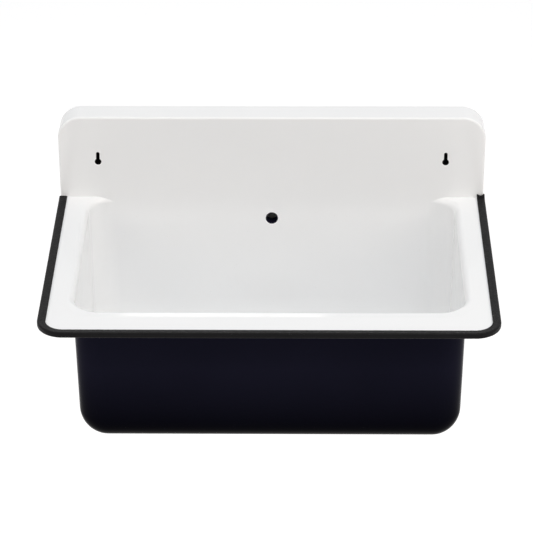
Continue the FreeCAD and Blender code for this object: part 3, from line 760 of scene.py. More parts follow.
def lathe(name: str, outline: Sequence[Flat] | Callable[[float], Sequence[Flat]], centre: Point,
          axis: Axis = Axis.Z, steps: int = 96) -> Mesh:
    """Turns a closed outline of radius and height about an axis.

    Args:
        name: The mesh's name.
        outline: Points of radius and height along the axis, in millimetres, or a function that gives
            them for a share of the turn.
        centre: Where the axis has height 0, in millimetres.
        axis: The axis.
        steps: Number of pieces in a turn.

    Returns:
        The closed mesh.
    """
    points: list[tuple[float, float, float]] = []
    rows = 0
    for k in range(steps):
        t = 2.0 * math.pi * k / steps
        line = outline(k / steps) if callable(outline) else outline
        rows = len(line)
        for radius, height in line:
            flat = (radius * math.cos(t), radius * math.sin(t))
            spot = (flat[0], flat[1], height) if axis is Axis.Z else (flat[0], height, -flat[1])
            points.append(tuple((s + c) * MM for s, c in zip(spot, centre)))
    faces = [face for k in range(steps) for face in bands(k * rows, (k + 1) % steps * rows, rows)]
    mesh = bpy.data.meshes.new(name)
    mesh.from_pydata(points, [], faces)
    outward(mesh)
    return smoothed(mesh)


def prism(name: str, outline: Sequence[Flat], low: float, high: float, ease: float) -> Mesh:
    """Draws a closed outline of x and z along y, with eased ends.

    Args:
        name: The mesh's name.
        outline: Points of x and z, in millimetres.
        low: First end along y.
        high: Last end along y.
        ease: Size of the easing at both ends.

    Returns:
        The closed mesh.
    """
    flat = np.array(outline)
    middle = flat.mean(axis=0)
    reach = float(np.abs(flat - middle).max())
    small = middle + (flat - middle) * (1.0 - ease / reach)
    rows = [(small, low), (flat, low + ease), (flat, high - ease), (small, high)]
    points = [(x * MM, y * MM, z * MM) for row, y in rows for x, z in row]
    count, last = len(flat), len(rows) - 1
    faces: list[tuple[int, ...]] = []
    for r in range(last):
        faces += bands(r * count, (r + 1) * count, count)
    faces += [tuple(range(count)), tuple(range(last * count, len(points)))]
    mesh = bpy.data.meshes.new(name)
    mesh.from_pydata(points, [], faces)
    outward(mesh)
    return mesh


def ringed(name: str, one: Mesh, slot: str, axis: Axis, centre: Point, count: int,
           first: float = 0.0) -> Mesh:
    """Sets copies of a shape evenly round an axis.

    Args:
        name: The new mesh's name.
        one: The shape, as it stands beside an axis through the origin.
        slot: Its material slot in the record.
        axis: The axis.
        centre: Where the axis goes, in millimetres.
        count: Number of copies.
        first: Angle of the first copy, in radians.

    Returns:
        The mesh of all the copies.
    """
    return ring_tree(axis).grown(name, one, Count=count, First_Angle=first, Centre=[c * MM for c in centre],
                                 Material=FINISHES[slot].material())


def inside(loop: np.ndarray, points: np.ndarray) -> np.ndarray:
    """Tells which points lie in a closed loop.

    Args:
        loop: Corners of the loop.
        points: Points to test.

    Returns:
        A truth value for each point.
    """
    found = np.zeros(len(points), bool)
    x, y = points[:, 0], points[:, 1]
    for (ax, ay), (bx, by) in zip(loop, np.roll(loop, -1, axis=0)):
        if ay == by:
            continue
        crosses = (ay > y) != (by > y)
        found ^= crosses & (x < (bx - ax) * (y - ay) / (by - ay) + ax)
    return found


def filled(loops: Sequence[np.ndarray], points: np.ndarray) -> np.ndarray:
    """Tells which points lie in the first loop and in none of the others.

    Args:
        loops: The outer loop, then the holes.
        points: Points to test.

    Returns:
        A truth value for each point.
    """
    found = inside(loops[0], points)
    for loop in loops[1:]:
        found &= ~inside(loop, points)
    return found


def clear_of(loop: np.ndarray, points: np.ndarray, gap: float) -> np.ndarray:
    """Tells which points keep a distance from a loop's line.

    Args:
        loop: Corners of the loop.
        points: Points to test.
        gap: The distance.

    Returns:
        A truth value for each point.
    """
    nearest = np.full(len(points), np.inf)
    for a, b in zip(loop, np.roll(loop, -1, axis=0)):
        along = b - a
        share = np.clip(((points - a) @ along) / max(float(along @ along), TINY), 0.0, 1.0)
        nearest = np.minimum(nearest, np.linalg.norm(points - a - share[:, None] * along, axis=1))
    return nearest > gap


def meshed(loops: Sequence[np.ndarray], pitch: float) -> tuple[np.ndarray, list[tuple[int, ...]], list[int]]:
    """Fills the first loop, less the others, with triangles.

    Args:
        loops: The outer loop, then the holes.
        pitch: Spacing of the points inside.

    Returns:
        The flat points, the triangles, and for each point its number among the loops' points or -1.
    """
    margin, merge = pitch * 0.45, 1e-6
    low, high = loops[0].min(axis=0), loops[0].max(axis=0)
    counts = np.maximum(np.ceil((high - low) / pitch).astype(int), 1)
    xs, ys = (np.linspace(a, b, n + 1) for a, b, n in zip(low, high, counts))
    spots = np.stack(np.meshgrid(xs, ys), axis=-1).reshape(-1, 2)
    keep = filled(loops, spots)
    edges, start = [], 0
    for loop in loops:
        count = len(loop)
        keep &= clear_of(loop, spots, margin)
        edges += [(start + k, start + (k + 1) % count) for k in range(count)]
        start += count
    flat = np.concatenate([*loops, spots[keep]])
    result = delaunay_2d_cdt([Vector(p) for p in flat], edges, [], 0, merge)
    points = np.array([tuple(v) for v in result[0]])
    firsts = [min(ids, default=-1) for ids in result[3]]
    source = [first if first < start else -1 for first in firsts]
    faces = [tuple(f) for f in result[2]]
    middle = np.array([points[list(f)].mean(axis=0) for f in faces])
    return points, [f for f, kept in zip(faces, filled(loops, middle)) if kept], source


# Pressing


class Side(Enum):
    """Stretches of the bowl's outline in order round it, with their first and last directions in plan."""

    BACK_LEFT = (90.0, 180.0)
    LEFT = (180.0, 180.0)
    FRONT_LEFT = (180.0, 270.0)
    FRONT = (270.0, 270.0)
    FRONT_RIGHT = (270.0, 360.0)
    RIGHT = (0.0, 0.0)
    BACK_RIGHT = (0.0, 90.0)
    BACK = (90.0, 90.0)

    @property
    def corner(self) -> bool:
        """Whether the stretch is a rounded corner."""
        return self.value[0] != self.value[1]

    @property
    def rear(self) -> bool:
        """Whether the stretch is one of the two corners at the splashback."""
        return self in (Side.BACK_LEFT, Side.BACK_RIGHT)

    @property
    def left(self) -> bool:
        """Whether the stretch lies on the left."""
        return self in (Side.BACK_LEFT, Side.LEFT, Side.FRONT_LEFT)


@dataclass
class Pressing:
    """The enamelled sheet: bowl, rim, splashback and its folded ledge, as faces at a depth in the sheet."""

    half: float = HALF_WIDTH
    front: float = FRONT
    edge_corner: float = EDGE_CORNER
    splash_top: float = 105.5
    splash_corner: float = 28.0
    ledge: float = 31.7
    fold: float = 2.6
    bowl_half: float = 218.25
    bowl_front: float = 268.0
    bowl_depth: float = BOWL_DEPTH
    bowl_round: float = 31.0
    bowl_ease: float = 1.55
    lip: float = 8.0
    draft: float = math.radians(1.0)
    tilt_levels: tuple[float, ...] = (-36.0, -25.0, -5.0)
    tilt_degrees: tuple[float, ...] = (3.615, 6.2, 0.0)
    drain_back: float = DRAIN_BACK
    drain_hole: float = 27.0
    dish: float = 37.0
    dish_drop: float = 3.5
    dish_round: float = 3.0
    dish_slope: float = 45.0
    dish_rings: tuple[float, ...] = (32.0, 29.0)
    floor_ring: float = 66.0
    floor_rings: tuple[float, ...] = (58.0, 50.0, 46.0)
    key_x: float = KEY_X
    key_level: float = 46.9
    key_entry: float = 4.0
    key_slot: float = 2.1
    key_travel: float = 10.6
    overflow_level: float = OVERFLOW_LEVEL
    overflow_hole: float = OVERFLOW_HOLE
    hole_round: float = 0.35
    bare_ring: float = 1.1
    roll_drop: float = 0.57
    roll_share: float = 0.17
    roll_fade: float = 1.35
    roll_left: float = 0.07
    roll_rows: tuple[float, ...] = (0.0, 0.04, 0.08, 0.12)
    rim_rows: tuple[float, ...] = (0.4, 0.6, 0.8, 1.0)
    rim_least: float = 1.0
    coat: float = 0.4
    sheet: float = 2.4
    middle_level: float = -60.0
    middle_share: float = 0.7
    corner_faces: int = 16
    side_faces: int = 24
    front_faces: int = 44
    round_faces: int = 12
    wall_faces: int = 12
    lip_faces: int = 10
    splash_faces: int = 12
    fold_faces: int = 8
    ledge_faces: int = 5
    floor_faces: int = 7
    dish_faces: int = 6
    back_pitch: float = 7.0

    def __post_init__(self) -> None:
        """Works out the back wall's line, from the splashback down."""
        low, high, step = -200.0, 120.0, 0.25
        self.levels = np.arange(low, high, step)
        slope = np.tan(self.tilt(self.levels))
        steps = (slope[1:] + slope[:-1]) * step / 2.0
        self.depths = np.zeros_like(self.levels)
        self.depths[:-1] = -steps[::-1].cumsum()[::-1]

    def tilt(self, h: np.ndarray) -> np.ndarray:
        """Lean of the back wall at a level, in radians."""
        return np.radians(np.interp(h, self.tilt_levels, self.tilt_degrees))

    def back(self, h: np.ndarray, inset: float) -> np.ndarray:
        """Place of the splashback and back wall along y at a level and a depth in the sheet."""
        return np.interp(h, self.levels, self.depths) + inset / np.cos(self.tilt(h))

    def core(self, h: np.ndarray) -> tuple[np.ndarray, np.ndarray, np.ndarray]:
        """Lines that the bowl's corners are turned about.

        Args:
            h: Level.

        Returns:
            Half width, front place and back place.
        """
        rise = self.bowl_round / math.cos(self.draft) - h * math.tan(self.draft)
        rear = self.back(h, 0.0) - self.bowl_round / np.cos(self.tilt(h))
        return self.bowl_half - rise, rise - self.bowl_front, rear

    def angle(self, side: Side, u: np.ndarray, cut: float | np.ndarray = 0.0) -> np.ndarray:
        """Direction in plan at a place along a stretch.

        Args:
            side: The stretch.
            u: Place along it, from 0 to 1.
            cut: Angle that the splashback cuts off a rear corner.

        Returns:
            The direction in radians.
        """
        first, last = (math.radians(a) for a in side.value)
        first = first + (cut if side is Side.BACK_LEFT else 0.0)
        last = last - (cut if side is Side.BACK_RIGHT else 0.0)
        return first + (last - first) * u

    def lean(self, side: Side, turn: np.ndarray, h: np.ndarray) -> np.ndarray:
        """Lean of the wall from upright, blended round the rear corners.

        Args:
            side: The stretch.
            turn: Direction in plan.
            h: Level.

        Returns:
            The lean in radians.
        """
        if side is Side.BACK:
            return self.tilt(h) + 0.0 * turn
        if side.rear:
            return self.draft * np.cos(turn) ** 2 + self.tilt(h) * np.sin(turn) ** 2
        return np.full_like(turn, self.draft)

    def spot(self, side: Side, u: np.ndarray, turn: np.ndarray, h: np.ndarray,
             out: np.ndarray) -> tuple[np.ndarray, np.ndarray]:
        """Place in plan of a point at a distance from the bowl's core.

        Args:
            side: The stretch.
            u: Place along it.
            turn: Direction there.
            h: Level of the core.
            out: Distance from the core.

        Returns:
            The x and y of the point.
        """
        wide, front, rear = self.core(h)
        if side.corner:
            sign = -1.0 if side.left else 1.0
            deep = rear if side.rear else front
            return sign * wide + out * np.cos(turn), deep + out * np.sin(turn)
        if side is Side.LEFT:
            return -wide - out, rear + (front - rear) * u
        if side is Side.FRONT:
            return wide * (2.0 * u - 1.0), front - out
        if side is Side.RIGHT:
            return wide + out, front + (rear - front) * u
        return wide * (1.0 - 2.0 * u), rear + out

    def raised(self, h: np.ndarray, inset: float) -> np.ndarray:
        """Level of the rounding's points, which are drawn up the walls inside the bowl."""
        floor = -self.bowl_depth - inset
        return floor + (h - floor) * (self.bowl_ease if inset <= self.coat else 1.0)

    def fillet(self, side: Side, inset: float, u: np.ndarray, v: np.ndarray) -> np.ndarray:
        """The rounding from wall to floor.

        Args:
            side: The stretch.
            inset: Depth in the sheet.
            u: Share of the way along.
            v: Share of the way down.

        Returns:
            The points.
        """
        base = np.full_like(u, self.bowl_round - self.bowl_depth)
        radius = self.bowl_round + inset
        turn = self.angle(side, u)
        lean = self.lean(side, turn, base)
        bend = lean + (math.pi / 2.0 - lean) * v
        h = base - radius * np.sin(bend)
        high = self.raised(h, inset)
        out = radius * np.cos(bend) + (high - h) * np.tan(lean)
        x, y = self.spot(side, u, turn, base, out)
        return np.stack((x, y, high), axis=-1)

    def wall(self, side: Side, inset: float, u: np.ndarray, v: np.ndarray) -> np.ndarray:
        """The upright wall.

        Args:
            side: The stretch.
            inset: Depth in the sheet.
            u: Share of the way along.
            v: Share of the way up.

        Returns:
            The points.
        """
        base = np.full_like(u, self.bowl_round - self.bowl_depth)
        radius = self.bowl_round + inset
        turn = self.angle(side, u)
        low = self.raised(base - radius * np.sin(self.lean(side, turn, base)), inset)
        bend = np.sin(self.lean(side, turn, np.full_like(u, -self.lip)))
        high = -self.lip + (self.lip - inset) * bend
        h = low + (high - low) * v
        x, y = self.spot(side, u, turn, h, radius / np.cos(self.lean(side, turn, h)))
        return np.stack((x, y, h), axis=-1)

    def lip_bend(self, inset: float, lean: np.ndarray, v: np.ndarray) -> tuple[np.ndarray, np.ndarray]:
        """Section of the bend from wall to rim.

        Args:
            inset: Depth in the sheet.
            lean: Lean of the wall under it.
            v: Share of the way up.

        Returns:
            Distance from the bowl's core, and level.
        """
        radius = self.lip - inset
        roll = lean + (math.pi / 2.0 - lean) * v
        out = (self.bowl_round + inset + radius) / np.cos(lean) - radius * np.cos(roll)
        return out, -self.lip + radius * np.sin(roll)

    def flare(self, side: Side, inset: float, u: np.ndarray, v: np.ndarray) -> np.ndarray:
        """The bend from wall to rim.

        Args:
            side: The stretch.
            inset: Depth in the sheet.
            u: Share of the way along.
            v: Share of the way up.

        Returns:
            The points.
        """
        deep = np.full_like(u, -self.lip)
        cut = 0.0
        if side.rear:
            out, h = self.lip_bend(inset, self.tilt(deep), v)
            cut = np.arccos(np.clip((self.back(h, inset) - self.core(deep)[2]) / out, -1.0, 1.0))
        turn = self.angle(side, u, cut)
        out, h = self.lip_bend(inset, self.lean(side, turn, deep), v)
        x, y = self.spot(side, u, turn, deep, out)
        return np.stack((x, y, h - self.rolled(side, u) * (2.0 * v - v * v)), axis=-1)

    def rolled(self, side: Side, u: np.ndarray) -> np.ndarray:
        """How far the rim's inner edge rolls down: fully at the front, and less round its corners."""
        return self.roll_drop * np.maximum(-np.sin(self.angle(side, u)), 0.0) ** 2

    def rim(self, side: Side, inset: float, lip: np.ndarray) -> tuple[np.ndarray, np.ndarray]:
        """The rim along a stretch, from the lip to its bare edge.

        Args:
            side: The stretch.
            inset: Depth in the sheet.
            lip: Points of the lip's end.

        Returns:
            The points and the normals, in rows.
        """
        u = np.linspace(0.0, 1.0, len(lip))
        roll, turn = self.rolled(side, u), self.angle(side, u)
        out = np.stack((np.cos(turn), np.sin(turn), 0.0 * turn), axis=-1)
        across = self.edge(side, inset, self.fold) - lip
        width = np.maximum(np.sum(across * out, axis=1), self.rim_least)
        slope = (1.0 - self.roll_left) * roll / (width * self.roll_share)
        ends = (0.0, self.roll_share, self.roll_share * self.roll_fade)
        rows, normals = [], []
        for share in (*self.roll_rows, *ends[1:], *self.rim_rows):
            row = lip + across * share
            row[:, 2] = -inset - roll * np.interp(share, ends, (1.0, self.roll_left, 0.0))
            rows.append(row)
            steep = slope * np.interp(share, ends[1:], (1.0, 0.0))
            way = UP - out * steep[:, None]
            normals.append(way / np.linalg.norm(way, axis=1, keepdims=True))
        rows.append(self.edge(side, inset, 0.0))
        normals.append(normals[-1])
        return np.array(rows), np.array(normals)

    def count(self, side: Side) -> int:
        """Number of faces along a stretch."""
        straight = self.front_faces if side in (Side.FRONT, Side.BACK) else self.side_faces
        return self.corner_faces if side.corner else straight

    def sampled(self, at: Patch, along: int, across: int) -> tuple[np.ndarray, np.ndarray]:
        """Points and normals of a patch, with the normals on the bowl's side.

        Args:
            at: The patch's function.
            along: Faces along it.
            across: Faces across it.

        Returns:
            The points and the normals, in rows.
        """
        u, v = np.meshgrid(np.linspace(0.0, 1.0, along + 1), np.linspace(0.0, 1.0, across + 1))
        step = 1e-4
        points = at(u, v)
        normals = np.cross(at(u + step, v) - at(u - step, v), at(u, v + step) - at(u, v - step))
        size = np.linalg.norm(normals, axis=-1, keepdims=True)
        normals = np.where(size > TINY, normals / np.maximum(size, TINY), UP)
        towards = np.array((0.0, -self.drain_back, self.middle_level)) - points
        towards /= np.linalg.norm(towards, axis=-1, keepdims=True)
        signs = np.sign(np.sum(normals * (towards * self.middle_share + UP), axis=-1, keepdims=True))
        return points, normals * np.where(signs == 0.0, 1.0, signs)

    def edge(self, side: Side, inset: float, back_off: float) -> np.ndarray:
        """The rim's bare edge along a stretch, or a line inside it.

        Args:
            side: The stretch.
            inset: Depth in the sheet.
            back_off: Distance inside the bare edge.

        Returns:
            Points of the line.
        """
        u = np.linspace(0.0, 1.0, self.count(side) + 1)
        sign, share = (-1.0, u) if side.left else (1.0, 1.0 - u)
        rear = float(self.core(np.array(-self.lip))[2])
        near = self.edge_corner - self.front
        centre = self.half - self.edge_corner
        if side is Side.FRONT:
            x, y = centre * (2.0 * u - 1.0), np.full_like(u, back_off - self.front)
        elif side.corner and not side.rear:
            turn, radius = self.angle(side, u), self.edge_corner - back_off
            x, y = sign * centre + radius * np.cos(turn), near + radius * np.sin(turn)
        else:
            first, last = (inset, rear) if side.rear else (rear, near)
            x, y = np.full_like(u, sign * (self.half - back_off)), first + (last - first) * share
        return np.stack((x, y, np.full_like(u, -inset)), axis=-1)

    def grow(self, inset: float) -> float:
        """How far a hole's edge is eased at a depth in the sheet."""
        return 0.0 if math.isclose(inset, self.coat) else self.hole_round

    def bared(self, inset: float, facing: float) -> float:
        """How far the white coat stops short of the overflow's edge, which is 0 on the dark sheet."""
        white = inset < self.coat if facing > 0.0 else inset <= self.coat
        return self.bare_ring if white else 0.0

    def keyhole(self, sign: float, inset: float) -> np.ndarray:
        """Outline of a keyhole in x and level.

        Args:
            sign: -1 for the left one, 1 for the right one.
            inset: Depth in the sheet.

        Returns:
            Points of the outline.
        """
        slot, entry = self.key_slot + self.grow(inset), self.key_entry + self.grow(inset)
        meet = math.degrees(math.asin(slot / entry))
        centre = (sign * self.key_x, self.key_level)
        loop = arc(centre, entry, 90.0 + meet, 450.0 - meet, steps=30)
        loop += arc((centre[0], centre[1] + self.key_travel), slot, 0.0, 180.0, steps=12)
        return np.array(loop)

    def fold_line(self, inset: float) -> tuple[np.ndarray, np.ndarray]:
        """Line where the splashback's flat ends and the fold starts, from the left foot over the top.

        Args:
            inset: Depth in the sheet.

        Returns:
            Points in x and level, and outward directions.
        """
        wide, high = self.half - self.fold, self.splash_top - self.fold
        radius = self.splash_corner - self.fold
        left = [(-wide, h) for h in np.linspace(-inset, high - radius, self.splash_faces + 1)[:-1]]
        turn = arc((radius - wide, high - radius), radius, 180.0, 90.0, self.corner_faces)
        top = [(x, high) for x in np.linspace(radius - wide, wide - radius, self.front_faces + 1)[1:-1]]
        half_line = left + turn
        points = half_line + top + [(-x, h) for x, h in reversed(half_line)]
        ways = [(-1.0, 0.0)] * len(left) + arc((0.0, 0.0), 1.0, 180.0, 90.0, self.corner_faces)
        ways = ways + [(0.0, 1.0)] * len(top) + [(-x, h) for x, h in reversed(ways)]
        return np.array(points), np.array(ways)

    def dish_section(self, inset: float) -> list[tuple[float, ...]]:
        """Section of the floor near the drain, with its dished seat.

        Args:
            inset: Depth in the sheet.

        Returns:
            Radius and level of its points on the white face, and their normals.
        """
        floor, low = -self.bowl_depth, -self.bowl_depth - self.dish_drop
        ease = self.dish_round * math.tan(math.radians(self.dish_slope / 2.0))
        crest = (self.dish + self.dish_drop + ease, floor - self.dish_round)
        foot = (self.dish - ease, low + self.dish_round)
        section = [(radius, floor, 0.0, 1.0) for radius in self.floor_rings]
        for centre, start, sign in ((crest, 90.0, 1.0), (foot, -self.dish_slope, -1.0)):
            end = start + sign * self.dish_slope
            spots = arc(centre, self.dish_round, start, end, self.dish_faces)
            ways = arc((0.0, 0.0), sign, start, end, self.dish_faces)
            section += [(*spot, *way) for spot, way in zip(spots, ways)]
        rings = (*self.dish_rings, self.drain_hole + self.grow(inset))
        return section + [(radius, low, 0.0, 1.0) for radius in rings]

    def floor_rows(self, outline: np.ndarray, inset: float) -> tuple[np.ndarray, np.ndarray]:
        """Rows of the floor from its outline to the drain hole.

        Args:
            outline: Closed line where the floor meets its roundings.
            inset: Depth in the sheet.

        Returns:
            The points and the normals, in closed rows.
        """
        loop = np.concatenate((outline, outline[:1]))[:, :2]
        centre = np.array((0.0, -self.drain_back))
        way = loop - centre
        way /= np.linalg.norm(way, axis=1, keepdims=True)
        ring = centre + way * self.floor_ring
        rows, normals = [], []

        def add(flat: np.ndarray, level: float, across: float, up: float) -> None:
            """Adds a row at a level with a normal of two parts."""
            rows.append(np.concatenate((flat, np.full((len(way), 1), level)), axis=1))
            normals.append(np.concatenate((way * across, np.full((len(way), 1), up)), axis=1))

        for share in np.linspace(0.0, 1.0, self.floor_faces + 1)[:-1]:
            add(loop * (1.0 - share) + ring * share, -self.bowl_depth - inset, 0.0, 1.0)
        for radius, level, across, up in self.dish_section(inset):
            add(centre + way * (radius - across * inset), level - up * inset, across, up)
        return np.array(rows), np.array(normals)

    def lay(self, surface: Surface, inset: float, facing: float) -> Loops:
        """Adds the whole sheet at one depth.

        Args:
            surface: Where the faces go.
            inset: Depth below the white face.
            facing: 1 for a face towards the user, -1 for one towards the wall.

        Returns:
            The open edges by name.
        """
        tops: dict[Side, np.ndarray] = {}
        floor: list[np.ndarray] = []
        bare: list[np.ndarray] = []
        crease: dict[Side, list[np.ndarray]] = {}
        for side in Side:
            along = self.count(side)
            foot, normals = self.sampled(partial(self.fillet, side, inset), along, self.round_faces)
            surface.grid(foot, normals * facing)
            tops[side] = foot[0]
            if not side.corner:
                floor.extend(foot[-1][:-1])
            if side is Side.BACK:
                continue
            wall, normals = self.sampled(partial(self.wall, side, inset), along, self.wall_faces)
            wall[0] = foot[0]
            surface.grid(wall, normals * facing)
            lip, normals = self.sampled(partial(self.flare, side, inset), along, self.lip_faces)
            lip[0] = wall[-1]
            surface.grid(lip, normals * facing)
            rim, normals = self.rim(side, inset, lip[-1])
            surface.grid(rim, normals * facing)
            bare.extend(rim[-1] if side is Side.BACK_LEFT else rim[-1][1:])
            if side.rear:
                end = 0 if side.left else -1
                crease[side] = [*wall[:, end], *lip[1:, end], *rim[1:-1, end]]
        rows, normals = self.floor_rows(np.array(floor), inset)
        surface.grid(rows, normals * facing)
        loops = {"drain": list(rows[-1][:-1])}
        self.lay_fold(surface, inset, facing, bare, loops)
        self.lay_back(surface, inset, facing, tops[Side.BACK], crease, loops)
        return loops

    def lay_fold(self, surface: Surface, inset: float, facing: float, bare: list[np.ndarray],
                 loops: Loops) -> None:
        """Adds the fold, the ledge and the two small caps at the fold's feet.

        Args:
            surface: Where the faces go.
            inset: Depth below the white face.
            facing: 1 or -1, as for the whole sheet.
            bare: The rim's bare edge.
            loops: Open edges, to which the outer edge is added.
        """
        line, ways = self.fold_line(inset)
        bend = self.fold - inset
        rows, normals = [], []
        for t in np.linspace(0.0, math.pi / 2.0, self.fold_faces + 1):
            flat = line + ways * bend * math.sin(t)
            depth = np.full(len(line), inset + bend * (1.0 - math.cos(t)))
            rows.append(np.stack((flat[:, 0], depth, flat[:, 1]), axis=-1))
            lean = np.full(len(line), -math.cos(t))
            normals.append(np.stack((ways[:, 0] * math.sin(t), lean, ways[:, 1] * math.sin(t)), axis=-1))
        surface.grid(np.array(rows), np.array(normals) * facing)
        shelf = []
        for depth in np.linspace(self.fold, self.ledge, self.ledge_faces + 1):
            row = rows[-1].copy()
            row[:, 1] = depth
            shelf.append(row)
        surface.grid(np.array(shelf), np.array([normals[-1] * facing] * len(shelf)))
        feet = [np.array((sign * self.half, self.fold, -inset)) for sign in (-1.0, 1.0)]
        for foot, end in zip(feet, (0, -1)):
            tip = np.array((foot[0], inset, -inset))
            ring = [row[end] for row in rows] + [foot]
            for a, b in zip(ring, ring[1:]):
                surface.face((tip, a, b), [UP * facing] * 3)
        right = [feet[1], *[row[-1] for row in shelf]]
        left = [*[row[0] for row in reversed(shelf)], feet[0]]
        loops["outer"] = [*bare, *right, *list(shelf[-1][1:-1][::-1]), *left]

    def lay_back(self, surface: Surface, inset: float, facing: float, foot: np.ndarray,
                 crease: dict[Side, list[np.ndarray]], loops: Loops) -> None:
        """Adds the splashback and the bowl's back wall as one face with its holes.

        Args:
            surface: Where the faces go.
            inset: Depth below the white face.
            facing: 1 or -1, as for the whole sheet.
            foot: Top of the rounding at the back wall's foot.
            crease: Points up the two rear corners.
            loops: Open edges, to which the holes are added.
        """
        line, _ = self.fold_line(inset)
        over = [np.array((x, inset, h)) for x, h in line[::-1]]
        edge = [*foot[::-1], *crease[Side.BACK_RIGHT][1:], *over[1:], *crease[Side.BACK_LEFT][::-1][1:-1]]
        radius = self.overflow_hole + self.grow(inset) + self.bared(inset, facing)
        holes = {"left_key": self.keyhole(-1.0, inset), "right_key": self.keyhole(1.0, inset),
                 "overflow": circle((0.0, self.overflow_level), radius, steps=44)}
        solid = list(edge)
        for name, loop in holes.items():
            loops[name] = [np.array((x, float(self.back(np.array(h), inset)), h)) for x, h in loop]
            solid.extend(loops[name])
        outline = np.array([(p[0], p[2]) for p in edge])
        flat, faces, source = meshed([outline, *holes.values()], self.back_pitch)
        deep, lean = self.back(flat[:, 1], inset), self.tilt(flat[:, 1])
        normals = np.stack((np.zeros_like(lean), -np.cos(lean), np.sin(lean)), axis=-1) * facing
        points = [solid[s] if s >= 0 else np.array((p[0], y, p[1])) for p, y, s in zip(flat, deep, source)]
        for f in faces:
            surface.face([points[k] for k in f], [normals[k] for k in f])

    def shell(self, name: str, top: float, under: float) -> Mesh:
        """A layer of the sheet as a closed shell.

        Args:
            name: The mesh's name.
            top: Depth of its outer face.
            under: Depth of its inner face.

        Returns:
            The mesh.
        """
        surface = Surface()
        first = self.lay(surface, top, 1.0)
        second = self.lay(surface, under, -1.0)
        for key, loop in first.items():
            surface.strip(loop, second[key])
        return surface.mesh(name)

    def build(self) -> None:
        """Makes the white coat and the dark sheet under it."""
        white = self.shell("white_coat", 0.0, self.coat)
        placed("white_coat", white, "cover_enamel", Body.SINK, ["white_enamel"])
        dark = self.shell("steel_pressing", self.coat, self.sheet)
        placed("steel_pressing", dark, "ground_enamel", Body.SINK, ["sink_body"])


# Edging


@dataclass
class EdgeTrim:
    """Grained edging pushed onto the rim's bare edge, left, front and right."""

    half: float = HALF_WIDTH
    front: float = FRONT
    corner: float = EDGE_CORNER
    level: float = -48.1
    end_gap: float = 0.1
    outside: float = 1.7
    reach: float = 8.1
    height: float = 3.5
    slot: float = 1.3
    slot_end: float = 0.05
    slot_round: float = 0.5
    round: float = 1.9
    tip: float = 0.8
    taper: float = 0.7
    step: float = 0.95
    grain_size: float = 2.5
    grain_depth: float = 0.30
    grain_seed: float = 4.0
    end_reach: float = 6.0
    end_round: float = 1.6
    end_power: float = 4.0
    notch: float = 1.7
    notch_spread: float = 1.25
    slant: float = 0.3
    curl: float = 2.2
    curl_sides: float = 2.9
    curl_power: float = 1.5
    curl_fade: float = 1.4

    def section(self) -> bpy.types.Object:
        """The edging's closed U section, outwards along x and down along y.

        Returns:
            An object of its outline.
        """
        out, high, low = self.outside, self.height, self.height - self.taper
        end = self.tip - self.reach
        half = arc((out - self.round, high - self.round), self.round, 0.0, 90.0, steps=7)
        half += [tuple(p) for p in np.linspace((out - self.round, high), (end, low), 5)[1:-1]]
        half += arc((end, low - self.tip), self.tip, 90.0, 180.0, steps=5)
        mouth = (self.slot_round - self.reach, self.slot + self.slot_round)
        half += arc(mouth, self.slot_round, 180.0, 270.0, steps=3) + [(self.slot_end, self.slot)]
        points = half + [(x, -y) for x, y in reversed(half)]
        mesh = bpy.data.meshes.new("edging_section")
        count = len(points)
        mesh.from_pydata([(x * MM, -y * MM, 0.0) for x, y in reversed(points)],
                         [(k, (k + 1) % count) for k in range(count)], [])
        section = bpy.data.objects.new("edging_section", mesh)
        bpy.context.scene.collection.objects.link(section)
        return section

    def path(self) -> Mesh:
        """The rim's bare edge as a line, from the left end round the front.

        Returns:
            A mesh of its points and edges.
        """
        near, wide = self.corner - self.front, self.half - self.corner
        steps = int((near + self.end_gap) / -self.step)
        left = [(-self.half, y) for y in np.linspace(-self.end_gap, near, steps)[:-1]]
        turn = arc((-wide, near), self.corner, 180.0, 270.0, steps=40)
        across = [(x, -self.front) for x in np.linspace(-wide, wide, int(2 * wide / self.step))[1:-1]]
        line = left + turn + across + [(-x, y) for x, y in reversed(left + turn)]
        mesh = bpy.data.meshes.new("edging_path")
        mesh.from_pydata([(x * MM, y * MM, self.level * MM) for x, y in line],
                         [(k, k + 1) for k in range(len(line) - 1)], [])
        return mesh

    def ends(self, mesh: Mesh) -> None:
        """Rounds the left end, and leaves the right one as a rough cut that is notched and turns up.

        Args:
            mesh: The swept edging.
        """
        middle = (self.outside - self.reach) / 2.0 + self.half
        for vertex in mesh.vertices:
            x, y, z = (c / MM for c in vertex.co)
            near = 1.0 + y / self.end_reach
            if near < 0.0:
                continue
            across = (abs(x) - middle) / (self.outside + self.reach) * 2.0
            rise = (z - self.level) / self.height
            if x < 0.0:
                back = self.end_round * max(abs(across), abs(rise)) ** self.end_power
            else:
                upper = max(0.0, rise)
                back = self.notch * max(0.0, 1.0 - (across * self.notch_spread) ** 2) + self.slant * upper
                lift = self.curl + self.curl_sides * min(1.0, abs(across)) ** self.curl_power
                vertex.co.z += lift * upper * near ** self.curl_fade * MM
            vertex.co.y -= back * MM * near

    def build(self) -> None:
        """Sweeps the section along the rim and finishes its ends."""
        section = self.section()
        mesh = sweep_tree().grown("edging", self.path(), Section=section, Grain_Size=self.grain_size * MM,
                                  Grain_Depth=self.grain_depth * MM, Seed=self.grain_seed,
                                  Material=FINISHES["trim_plastic"].material())
        bpy.data.objects.remove(section)
        self.ends(mesh)
        outward(mesh)
        placed("edging", smoothed(mesh, degrees=50.0), "trim_plastic", Body.SINK, ["edge_trim"])


# Overflow, waste and plug


